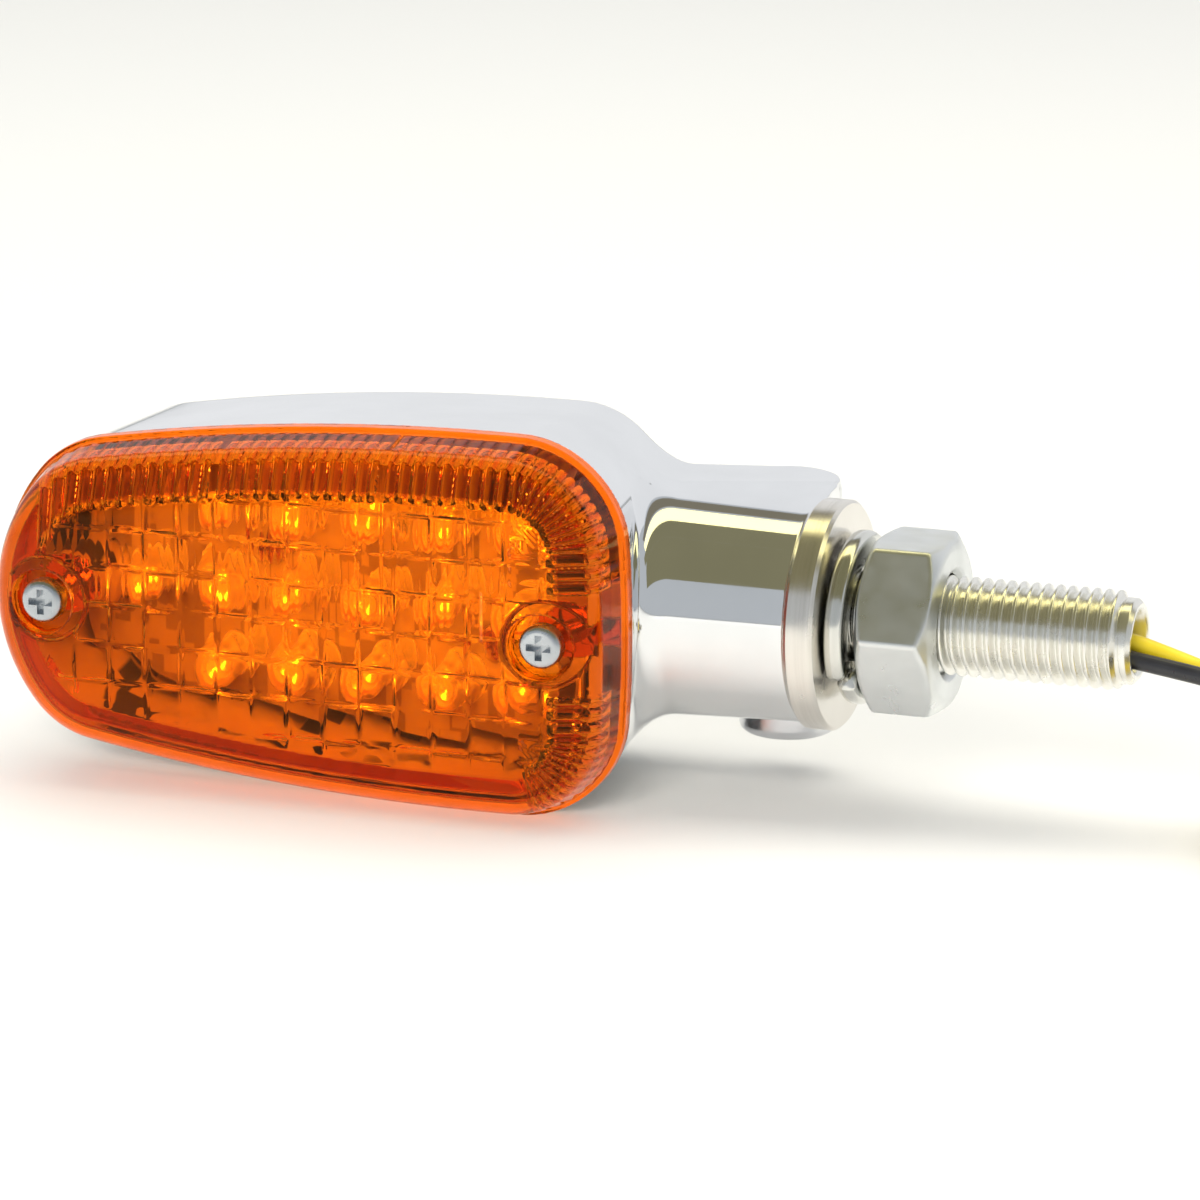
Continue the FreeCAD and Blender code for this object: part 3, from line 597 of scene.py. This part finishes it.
def neck_field(x, y, z):
    """The tapered neck, with a web whose level top runs on from it to the clamp boss behind."""
    up = np.abs(z)
    radius = NECK_R + NECK_DRAFT * (NECK_END_X - x)
    neck = np.hypot(y, z) - radius
    top = np.maximum(up * math.cos(WEB_TILT) - y * math.sin(WEB_TILT) - radius, up - CLAMP_TOP)
    share = np.clip((x - NECK_ROOT_X) / (CLAMP_X - NECK_ROOT_X), 0, 1)
    beside = CLAMP_Y + np.sqrt(np.maximum(CLAMP_R**2 - (x - CLAMP_X) ** 2, 0))
    back = np.where(x < CLAMP_X, WEB_ROOT_Y + (CLAMP_Y + CLAMP_R - WEB_ROOT_Y) * share, beside)
    edge_r = WEB_ROOT_EDGE_R + (WEB_CLAMP_EDGE_R - WEB_ROOT_EDGE_R) * share
    web = np.maximum(round_max(top, y - back, edge_r), -radius * math.sin(WEB_TILT) - y)
    boss = round_max(np.hypot(x - CLAMP_X, y - CLAMP_Y) - CLAMP_R, top, CLAMP_EDGE_R)
    return np.maximum(np.minimum(neck, np.minimum(web, boss)), NECK_ROOT_X - x)


def posts_field(x, y, z):
    """The screw posts inside the shell; the one beside the stem is short and webbed to the wall."""
    outer_x, inner_x = LENS_SCREW_X
    back_y = BACK_Y - 1.0
    field = rod(x - outer_x, z, LENS_POST_R, RIM_Y, back_y, y)
    field = np.minimum(field, rod(x - inner_x, z, LENS_POST_R, RIM_Y, SHORT_POST_Y, y))
    wall_x = STEM_END_X - WALL - 0.3
    web = np.maximum(np.abs(z) - POST_WEB_T / 2, np.maximum(inner_x - x, x - wall_x))
    field = np.minimum(field, np.maximum(web, slab(y, RIM_Y, SHORT_POST_Y)))
    for sx, sz in BOARD_SCREWS:
        field = np.minimum(field, rod(x - sx, z - sz, BOARD_POST_R, BOARD_POST_Y, back_y, y))
    return field


def side_gap(x, y, z):
    """Distance out of the head's side wall."""
    return outline(x, y, z) + RIM_INSET + DRAFT * (y - RIM_Y)


def cavity_gap(x, y, z):
    return round_max(side_gap(x, y, z) + WALL, y - BACK_Y + WALL, CAVITY_EDGE_R)


def housing_field(x, y, z):
    """The casting: shell, neck and posts, with the spigot's bore and the clamp's slit cut in."""
    shell = round_max(side_gap(x, y, z), y - BACK_Y, BACK_EDGE_R)
    body = round_min(shell, neck_field(x, y, z), NECK_FILLET_R)
    body = round_max(body, x - NECK_END_X, NECK_EDGE_R)
    body = round_max(body, RIM_Y - y, RIM_EDGE_R)
    cavity = cavity_gap(x, y, z)
    body = round_max(body, -cavity, RIM_EDGE_R)
    body = np.minimum(body, np.maximum(posts_field(x, y, z), cavity - POST_SINK))
    bore = np.maximum(np.hypot(y, z) - SPIGOT_BORE_R, SPIGOT_BORE_X - x)
    body = np.maximum(body, -bore)
    slit = np.maximum(np.abs(z) - SLIT_WIDTH / 2, SLIT_FRONT_Y - y)
    return round_max(body, -np.maximum(slit, SLIT_END_X - x), SLIT_EDGE_R)


def on_inner_wall(x, y, z):
    """1 on the shell's inner walls and 0 elsewhere."""
    return (cavity_gap(x, y, z) < 0.3) & (y > RIM_Y + 0.25)


LENS_STEP_Y = -15.3
CROWN_INSET, CROWN_DRAFT, LENS_WALL = 0.4, 0.21, 1.8
BEVEL_INSET, FACE_INSET, BEVEL_DEPTH = 1.45, 5.0, 1.7
FACE_EDGE_R, CROWN_EDGE_R, FLANGE_EDGE_R, CROWN_FOOT_R = 1.2, 1.0, 0.25, 0.3
RIB_PITCH, RIB_HEIGHT, OUTER_RIB_HEIGHT = 1.5, 0.65, 0.04
RIB_START_X = -79.0
RIB_CLEAR_X, RIB_CLEAR_Z = 6.0, 5.2  # the ribs' distance from the screw beside the stem
RIB_GAPS_X, RIB_GAP_HALF = (-59.9, -41.9), 0.5
# Painted shade: how dark the plain bevel and the lower rim of the amber are made
PLAIN_BAND_PAINTED_SHADE, LOWER_RIM_PAINTED_SHADE = 0.5, 0.35
BEAD_INSET, BEAD_R, BEAD_HEIGHT = 3.1, 0.45, 0.4
CELL_X, CELL_Z = 3.85, 4.0
CELL_BULGE, CELL_LIFT, CELL_TILT_Z, CELL_TILT_X = 0.12, 0.10, 0.18, 0.12
CELL_SEAM = 0.2  # share of a cell over which it fades out at its edge
RECESS_R, RECESS_Y = 3.3, -20.3
RECESS_BOSS_R, RECESS_FILLET_R, RECESS_EDGE_R = 4.1, 0.7, 0.25
SHANK_HOLE_R = 1.5
SEAT_GAP = 0.05  # keeps the flange just clear of the gasket


def rib_places(x, z):
    """Where the bevel has ribs (top, stem end and lower stem-side corner) and the way along them."""
    up = np.abs(z)
    turn = np.pi / 2 - np.arctan2(up - CORNER[1], x - CORNER[0])
    round_corner = CORNER[0] + CORNER_R * turn
    down_end = CORNER[0] + CORNER_R * np.pi / 2 + CORNER[1] - up
    way = np.where(x < CORNER[0], x, np.where(up < CORNER[1], down_end, round_corner))
    clear = (up > RIB_CLEAR_Z) | (x < LENS_SCREW_X[1] - RIB_CLEAR_X)
    there = (x > RIB_START_X) & ((z > 0) | (x > CORNER[0] + 1)) & clear
    for gap_x in RIB_GAPS_X:
        there = there & (np.abs(x - gap_x) > RIB_GAP_HALF)
    return there, way


def rib_wave(x, z, height):
    """The rounded ribs, as a height on the bevel."""
    there, way = rib_places(x, z)
    return np.where(there, height * np.abs(np.sin(np.pi * way / RIB_PITCH)), 0.0)


def prism_face(x, z):
    """Height of the cells on the inside of the lens's flat front, each with a tilt of its own."""
    column = np.round(x / CELL_X)
    row = np.round(z / CELL_Z + 0.5)
    a = 2 * (x / CELL_X - column)
    b = 2 * (z / CELL_Z + 0.5 - row)
    # Waves so quick that neighbouring cells look unrelated
    lift = np.sin(12.9898 * column + 78.233 * row)
    tilt = np.sin(39.425 * column + 17.71 * row)
    edge = np.clip(np.minimum(1 - np.abs(a), 1 - np.abs(b)) / CELL_SEAM, 0, 1)
    fade = edge**2 * (3 - 2 * edge)
    shape = CELL_BULGE * (1 - a * a) + CELL_LIFT * lift
    return fade * (shape + CELL_TILT_Z * tilt * b + CELL_TILT_X * lift * a)


def crown_field(gap, y):
    """The lens's raised part: a drafted wall, a bevel and a flat front."""
    wall = (gap + CROWN_INSET + CROWN_DRAFT * (LENS_STEP_Y - y)) / math.hypot(1, CROWN_DRAFT)
    angle = math.atan2(BEVEL_DEPTH, FACE_INSET - BEVEL_INSET)
    front = LENS_FRONT_Y - y
    bevel = (gap + FACE_INSET) * math.sin(angle) + front * math.cos(angle)
    return round_max(wall, round_max(bevel, front, FACE_EDGE_R), CROWN_EDGE_R)


def rim_gap(x, y, z):
    """Distance out of the lens's outline, which is the head's outline at its rim."""
    return outline(x, np.full_like(y, RIM_Y), z)


def lens_hollow(x, y, z, gap, crown):
    """The lens's inner wall, with ribs on the bevel, a bead along the lower one and prism cells."""
    on_face = np.clip((-gap - FACE_INSET - 0.6) / 0.8, 0, 1)
    depth = np.clip((LENS_STEP_Y - y - 0.6) / 2.0, 0, 1)
    ribs = rib_wave(x, z, RIB_HEIGHT) * depth * (1 - on_face)
    bead = BEAD_HEIGHT * np.exp(-(((gap + BEAD_INSET) / BEAD_R) ** 2)) * (z < 0)
    return crown + LENS_WALL - ribs - bead - on_face * prism_face(x, z)


def lens_field(x, y, z):
    """The hollow lens: a flange, a ribbed crown and a recess round each screw."""
    gap = rim_gap(x, y, z)
    seat = LENS_SEAT_Y - SEAT_GAP
    flange = round_max(gap, slab(y, LENS_STEP_Y, seat), FLANGE_EDGE_R)
    crown = crown_field(gap, y)
    ribbed = np.maximum(crown + rib_wave(x, z, OUTER_RIB_HEIGHT), y - seat)
    outer = round_min(flange, ribbed, CROWN_FOOT_R)
    shell = np.maximum(outer, -lens_hollow(x, y, z, gap, crown))
    boss_end_y = RECESS_Y + LENS_WALL
    for screw_x in LENS_SCREW_X:
        boss = rod(x - screw_x, z, RECESS_BOSS_R, LENS_FRONT_Y + 1.0, boss_end_y, y)
        boss = np.maximum(boss, np.maximum(crown + 0.1, gap + 1.6))
        shell = np.maximum(round_min(shell, boss, RECESS_FILLET_R), outer)
        recess = np.maximum(np.hypot(x - screw_x, z) - RECESS_R, y - RECESS_Y)
        shell = round_max(shell, -recess, RECESS_EDGE_R)
        shell = np.maximum(shell, SHANK_HOLE_R - np.hypot(x - screw_x, z))
    return shell


def painted_amber_shade(x, y, z):
    """Painted shade on the amber: darkest between two ribs, less so on the plain bevel and the lower rim.
    """
    there, way = rib_places(x, z)
    outside_face = rim_gap(x, y, z) > -FACE_INSET - 0.5
    between = np.where(there, np.cos(np.pi * way / RIB_PITCH) ** 2, PLAIN_BAND_PAINTED_SHADE)
    rim = np.where((z < 0) & ~there, LOWER_RIM_PAINTED_SHADE, 0.0)
    return np.where(outside_face, np.where(y < LENS_STEP_Y - 0.5, between, rim), 0.0)


housing_shell = add_skin(
    "housing_shell",
    housing_field,
    (NOSE_X - 1, RIM_Y - 1, -HALF_HEIGHT - 1),
    (NECK_END_X + 1, BOSS_BACK_Y + 1.5, HALF_HEIGHT + 1),
    step=0.4,
    material=chrome(),
    body="lamp",
    slot="chrome_shell",
    nodes=("housing",),
)
mark(housing_shell, "inside", on_inner_wall)
lens_shell = add_skin(
    "lens_shell",
    lens_field,
    (NOSE_X - 0.6, LENS_FRONT_Y - 0.6, -HALF_HEIGHT - 0.6),
    (STEM_END_X + 0.6, RIM_Y + 0.6, HALF_HEIGHT + 0.6),
    step=0.27,
    material=amber_glass(),
    body="lamp",
    slot="amber_lens",
    nodes=("lens",),
)
lens_shell.visible_shadow = False
# Painted shade, stored on the lens for its material
mark(lens_shell, "painted_lens_shade", painted_amber_shade)

# ---------------------------------------------------------------- turned pieces


def lathe(profile, place, segments=40):
    """Points and faces of a profile of (along, radius) turned about its axis and closed."""
    points, faces = [], []
    n = len(profile)
    for k in range(segments):
        angle = 2 * math.pi * k / segments
        points += [place(a, r * math.cos(angle), r * math.sin(angle)) for a, r in profile]
        following = (k + 1) % segments
        for i in range(n - 1):
            faces.append((k * n + i, k * n + i + 1, following * n + i + 1, following * n + i))
    return points, faces


def arc_points(centre, radius, start_deg, stop_deg, count):
    """(along, radius) points of an arc, by angle from the axis."""
    angles = [math.radians(start_deg + (stop_deg - start_deg) * k / count) for k in range(count + 1)]
    return [(centre[0] + radius * math.cos(t), centre[1] + radius * math.sin(t)) for t in angles]


LED_R, LED_FLANGE_R, LED_TIP_Y, BOARD_Y = 2.5, 2.9, -12.6, -4.0
LED_FIRST_X, LED_PITCH, LED_COLUMNS = -72.0, 8.2, 6


def led_places():
    """(x, z) of each LED: three rows, the middle one longer by one at the nose."""
    return [
        (LED_FIRST_X + column * LED_PITCH, row * LED_PITCH)
        for row in (-1, 0, 1)
        for column in range(abs(row), LED_COLUMNS)
    ]


def joined(shapes):
    """One list of points and faces from several."""
    points, faces = [], []
    for more_points, more_faces in shapes:
        base = len(points)
        points += more_points
        faces += [tuple(base + i for i in face) for face in more_faces]
    return points, faces


def led_profiles():
    """(along, radius) outlines of an LED's flanged dome and of the reflector cup inside it."""
    board = -BOARD_Y
    neck = -LED_TIP_Y - LED_R
    rim = LED_FLANGE_R - 0.1
    dome = [(board, 0.0), (board, rim), (board + 0.1, LED_FLANGE_R)]
    dome += [(board + 0.9, LED_FLANGE_R), (board + 1.0, rim), (board + 1.0, LED_R), (neck, LED_R)]
    dome += arc_points((neck, 0.0), LED_R, 80, 0, 10)
    cup = [(board + 1.0, 0.0), (board + 1.0, 0.5), (board + 3.0, 0.5), (board + 3.4, 1.2)]
    cup += [(board + 5.2, 2.0), (board + 5.2, 1.85), (board + 3.9, 0.9), (board + 3.7, 0.0)]
    return dome, cup


def add_leds():
    """All domes as one piece and all cups as another, with a lamp of their own for the glints."""
    dome, cup = led_profiles()
    domes, cups = [], []
    for x, z in led_places():
        domes.append(lathe(dome, lambda a, p, q: (x + p, -a, z + q), 28))
        cups.append(lathe(cup, lambda a, p, q: (x + p, -a, z + q), 16))
    clear = plastic(
        "led_epoxy",
        (1.0, 0.93, 0.70),
        (1.0, 0.88, 0.58),
        (0.03, 0.08),
        relief=0.003,
        Transmission_Weight=0.75,
        IOR=1.45,
    )
    bright = metal("led_cup", (0.98, 0.92, 0.66), (0.92, 0.84, 0.56), (0.22, 0.36))
    leds = add_mesh("led_domes", *joined(domes), clear, "lamp", "led_epoxy", ("led_emitters",))
    cup_mesh = add_mesh("led_cups", *joined(cups), bright, "lamp", "led_epoxy")
    leds.visible_shadow = False
    glint = area_light("led_glint", (-0.06, -0.58, 0.40), (0.20, 0.20), 14.0, (1.0, 0.97, 0.85))
    light_only(glint, (leds, cup_mesh))


add_leds()

# ---------------------------------------------------------------- stud

THREAD_PITCH, THREAD_R, THREAD_ROOT_R = 1.25, 5.0, 4.23
THREAD_START_X, THREAD_STOP_X = 0.5, STUD_END_X - 1.9
THREAD_ROWS, THREAD_STEPS = 16, 60  # rows to a pitch, steps to a turn
ROOT_SHARE, FLANK_SHARE = 0.14, 0.66  # of the pitch, both flanks together
THREAD_FADE = 1.5  # how steeply the crests fall at the free end
STUD_TIP_R, STUD_CHAMFER = 4.33, 0.5
STUD_BORE_R, STUD_BORE_CHAMFER, STUD_BORE_END_X = 3.1, 0.35, -4.0


def thread_radius(phase):
    """Radius across one pitch: flat crest, straight flanks and a narrow flat root."""
    from_root = abs(phase - 0.5) * 2
    risen = min(max((from_root - ROOT_SHARE) / FLANK_SHARE, 0.0), 1.0)
    return THREAD_ROOT_R + (THREAD_R - THREAD_ROOT_R) * risen


def stud_limit(x):
    """Largest radius at x: near its free end the thread fades out, and the tip is chamfered."""
    if x > STUD_END_X - STUD_CHAMFER:
        return STUD_TIP_R - (x - STUD_END_X + STUD_CHAMFER)
    if x > THREAD_STOP_X:
        return max(STUD_TIP_R, THREAD_R - THREAD_FADE * (x - THREAD_STOP_X))
    return THREAD_R


def thread_surface():
    """Points and faces of a helical thread: its outline turned once as it moves on by a pitch."""
    count = int((STUD_END_X - THREAD_START_X) / THREAD_PITCH + 2) * THREAD_ROWS
    points, faces = [], []
    for j in range(THREAD_STEPS + 1):
        angle = 2 * math.pi * j / THREAD_STEPS
        for i in range(-THREAD_ROWS, count):
            x = THREAD_START_X + (i / THREAD_ROWS + j / THREAD_STEPS) * THREAD_PITCH
            x = min(max(x, THREAD_START_X), STUD_END_X)
            r = min(thread_radius(i / THREAD_ROWS % 1.0), stud_limit(x))
            points.append((x, r * math.cos(angle), r * math.sin(angle)))
    span = count + THREAD_ROWS
    for j in range(THREAD_STEPS):
        for i in range(span - 1):
            a = j * span + i
            faces.append((a, a + 1, a + span + 1, a + span))
    return points, faces


def add_stud():
    bore = [
        (STUD_END_X, stud_limit(STUD_END_X)),
        (STUD_END_X, STUD_BORE_R + STUD_BORE_CHAMFER),
        (STUD_END_X - STUD_BORE_CHAMFER, STUD_BORE_R),
        (STUD_BORE_END_X, STUD_BORE_R),
    ]
    tube = lathe(bore, lambda a, p, q: (a, p, q), THREAD_STEPS)
    zinc = turned_metal("zinc_stud", (0.92, 0.91, 0.86), (0.84, 0.83, 0.78), (0.2, 0.3), relief=0.001)
    stud = joined([thread_surface(), tube])
    add_mesh("stud_thread", *stud, zinc, "stem", "zinc_stud", ("mounting_stud",))


add_stud()

# ---------------------------------------------------------------- nut and washer

NUT_FLATS, NUT_BORE_R, NUT_CHAMFER_R = 17.0, 5.07, 7.9
NUT_EDGE_R, NUT_CORNER_R, NUT_BORE_CHAMFER = 0.3, 0.35, 0.6
(NUT_START_X, _, _), (NUT_END_X, _, _) = box_mm("hex_nut")


def nut_field(x, y, z):
    """A hexagon with a 30 degree chamfer at each end and edges worn round."""
    flats = np.abs(z) - NUT_FLATS / 2
    for side in (1, -1):
        flat = np.abs(side * y * math.cos(math.pi / 6) + z / 2) - NUT_FLATS / 2
        flats = round_max(flats, flat, NUT_CORNER_R)
    radius = np.hypot(y, z)
    end = slab(x, NUT_START_X, NUT_END_X)
    chamfer = end * math.cos(math.pi / 6) + (radius - NUT_CHAMFER_R) / 2
    body = round_max(flats, round_max(end, chamfer, NUT_EDGE_R), NUT_EDGE_R)
    return round_max(body, NUT_BORE_R + np.clip(end + NUT_BORE_CHAMFER, 0, 1) - radius, 0.1)


add_skin(
    "nut",
    nut_field,
    (NUT_START_X - 0.6, -NUT_FLATS * 0.6, -NUT_FLATS * 0.6),
    (NUT_END_X + 0.6, NUT_FLATS * 0.6, NUT_FLATS * 0.6),
    step=0.3,
    material=metal("zinc_nut", (0.80, 0.82, 0.82), (0.70, 0.72, 0.72), (0.26, 0.42), patch=160.0),
    body="nut",
    slot="zinc_nut",
    nodes=("hex_nut",),
)

WASHER_T, WASHER_EDGE_R, WASHER_BORE_R = 2.0, 0.75, 5.35
WASHER_STEPS = 120
WASHER_SPLIT = (-33.0, 319.0)  # degrees from the front, over the top


def washer_section(outer_r):
    """(along, radius) outline of the washer's rounded square wire."""
    half_t = WASHER_T / 2
    half_r = (outer_r - WASHER_BORE_R) / 2
    middle_r = (outer_r + WASHER_BORE_R) / 2
    section = []
    for start, a, b in ((0, 1, 1), (90, -1, 1), (180, -1, -1), (270, 1, -1)):
        centre = (a * (half_t - WASHER_EDGE_R), middle_r + b * (half_r - WASHER_EDGE_R))
        section += arc_points(centre, WASHER_EDGE_R, start, start + 90, 6)
    return section


def add_washer():
    """Nearly one turn of wire that leads from the collar's face to the nut's."""
    low, high = box_mm("spring_washer")
    section = washer_section(high[2])
    points, faces = [], []
    for k in range(WASHER_STEPS + 1):
        share = k / WASHER_STEPS
        angle = math.radians(WASHER_SPLIT[0] + (WASHER_SPLIT[1] - WASHER_SPLIT[0]) * share)
        x = low[0] + WASHER_T / 2 + (high[0] - low[0] - WASHER_T) * share
        points += [(x + a, -r * math.cos(angle), r * math.sin(angle)) for a, r in section]
    n = len(section)
    for k in range(WASHER_STEPS):
        for i in range(n):
            j = (i + 1) % n
            faces.append((k * n + i, k * n + j, (k + 1) * n + j, (k + 1) * n + i))
    faces.append(tuple(range(n))[::-1])
    faces.append(tuple(WASHER_STEPS * n + i for i in range(n)))
    shades = (0.82, 0.82, 0.78), (0.70, 0.70, 0.66)
    steel = turned_metal("spring_steel", *shades, (0.10, 0.2), lines=900.0, relief=0.002)
    add_mesh("split_washer", points, faces, steel, "washer", "spring_steel", ("spring_washer",))


add_washer()

# ---------------------------------------------------------------- leads

LEAD_D = 1.8
BLACK_COIL_R, BLACK_COIL_TURNS = 8.8, 4.25
YELLOW_COIL_R, YELLOW_COIL_TURNS = 10.75, 3.25
COIL_X = 52.0
COIL_FIRST_DEG = 50
COIL_POINTS = 24  # to a turn
COIL_TOP_Z = -10.1
COIL_FALL = 1.88  # per turn
TIE_T, TIE_BEND_R, TIE_TOOTH_PITCH = 0.45, 0.9, 0.8
TIE_LOCK_HALF_X, TIE_LOCK_HALF_Z, TIE_LOCK_DEPTH = 1.7, 1.5, 2.2
TIE_TAIL_HALF_X, TIE_TAIL_HALF_Y, TIE_TAIL_HALF_Z, TIE_TAIL_RISE = 1.1, 0.4, 1.6, 1.8
BLACK_ROUTE = (
    (20.0, -1.0, -0.2),
    (27.0, -0.7, -1.3),
    (34.6, -0.6, -2.4),
    (41.8, 1.2, -4.2),
    (46.2, 5.7, -6.7),
    (51.9, 8.7, -8.15),
)
YELLOW_ROUTE = (
    (20.0, 1.0, 0.2),
    (27.0, 1.2, 0.3),
    (34.4, 1.4, -1.9),
    (41.4, 3.5, -5.0),
    (45.6, 8.4, -7.4),
    (51.6, 10.7, -8.15),
)
BLACK_TAIL = ((60.75, -3.0, -18.3), (61.1, -8.0, -18.3), (60.7, -12.5, -17.35))
YELLOW_TAIL = ((62.7, -3.0, -16.4), (63.7, -8.0, -17.1), (65.2, -12.5, -17.35))


def coil_turns(radius, turns):
    """Points of a coil that winds down clockwise and ends on the +X side, heading to -Y."""
    reach = radius / math.cos(math.pi / COIL_POINTS)
    first = int(round((90 - COIL_FIRST_DEG) / 360 * COIL_POINTS))
    points = []
    for k in range(first, int(turns * COIL_POINTS) + 1):
        angle = math.radians(90 - 360 * k / COIL_POINTS)
        z = COIL_TOP_Z - COIL_FALL * k / COIL_POINTS
        points.append((COIL_X + reach * math.cos(angle), reach * math.sin(angle), z))
    return points


def tie_field(x, y, z):
    """A nylon cable tie: a band round the coils with its lock and cut tail on the front."""
    low, high = box_mm("lead_tie")
    middle, half = (low + high) / 2, (high - low) / 2
    side, up = np.abs(x - middle[0]), np.abs(z - middle[2])
    across = side - half[0]
    loop = round_max(np.abs(y - middle[1]) - half[1], up - half[2], TIE_BEND_R)
    teeth = 0.07 * np.abs(np.sin(np.pi * (y + z) / TIE_TOOTH_PITCH)) * (across < -0.4)
    band = round_max(round_max(loop + teeth, across, 0.15), -(loop + TIE_T), 0.1)
    depth = np.abs(y - low[1] + TIE_LOCK_DEPTH / 2)
    lock = round_max(side - TIE_LOCK_HALF_X, up - TIE_LOCK_HALF_Z, 0.4)
    lock = round_max(lock, depth - TIE_LOCK_DEPTH / 2 - 0.1, 0.3)
    tail = round_max(side - TIE_TAIL_HALF_X, depth - TIE_TAIL_HALF_Y, 0.15)
    tail = round_max(tail, np.abs(z - middle[2] - TIE_TAIL_RISE) - TIE_TAIL_HALF_Z, 0.1)
    return np.minimum(band, round_min(lock, tail, 0.15))


def add_tie():
    low, high = box_mm("lead_tie")
    return add_skin(
        "cable_tie",
        tie_field,
        (low[0] - 1.0, low[1] - TIE_LOCK_DEPTH - 0.6, low[2] - 0.5),
        (high[0] + 1.0, high[1] + 0.5, high[2] + 1.5),
        step=0.16,
        material=plastic("tie", (0.02, 0.02, 0.02), (0.04, 0.04, 0.04), (0.4, 0.55)),
        body="stem",
        slot="tie",
        nodes=("lead_tie",),
    )


def lead(name, points, material, nodes, pieces):
    """A round wire along the points, in millimetres."""
    curve = bpy.data.curves.new(name, "CURVE")
    curve.dimensions = "3D"
    curve.bevel_depth = LEAD_D / 2 * MM
    curve.bevel_resolution = 5
    curve.use_fill_caps = True
    spline = curve.splines.new("NURBS")
    spline.points.add(len(points) - 1)
    for target, (x, y, z) in zip(spline.points, points):
        target.co = (x * MM, y * MM, z * MM, 1.0)
    spline.order_u = 3
    spline.use_endpoint_u = True
    spline.resolution_u = 6
    curve.materials.append(material)
    obj = link(bpy.data.objects.new(name, curve))
    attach(obj, "stem")
    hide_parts(*nodes)


def connector(colour):
    """The CAD pieces of one lead's bullet connector."""
    return [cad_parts["bullet_sleeve_" + colour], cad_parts["bullet_" + colour]]


black = (0.02, 0.02, 0.024), (0.032, 0.032, 0.036)
yellow = (0.86, 0.66, 0.03), (0.78, 0.58, 0.02)
black_wire = plastic("black_wire", *black, (0.26, 0.38), patch=260.0, grain=1800.0)
yellow_wire = plastic("yellow_wire", *yellow, (0.28, 0.4), patch=260.0, grain=1800.0)
lead(
    "black_lead",
    [*BLACK_ROUTE, *coil_turns(BLACK_COIL_R, BLACK_COIL_TURNS), *BLACK_TAIL],
    black_wire,
    ("lead_black", "lead_black_coil", "lead_black_tail"),
    [*connector("black"), add_tie()],
)
lead(
    "yellow_lead",
    [*YELLOW_ROUTE, *coil_turns(YELLOW_COIL_R, YELLOW_COIL_TURNS), *YELLOW_TAIL],
    yellow_wire,
    ("lead_yellow", "lead_yellow_coil", "lead_yellow_tail"),
    connector("yellow"),
)
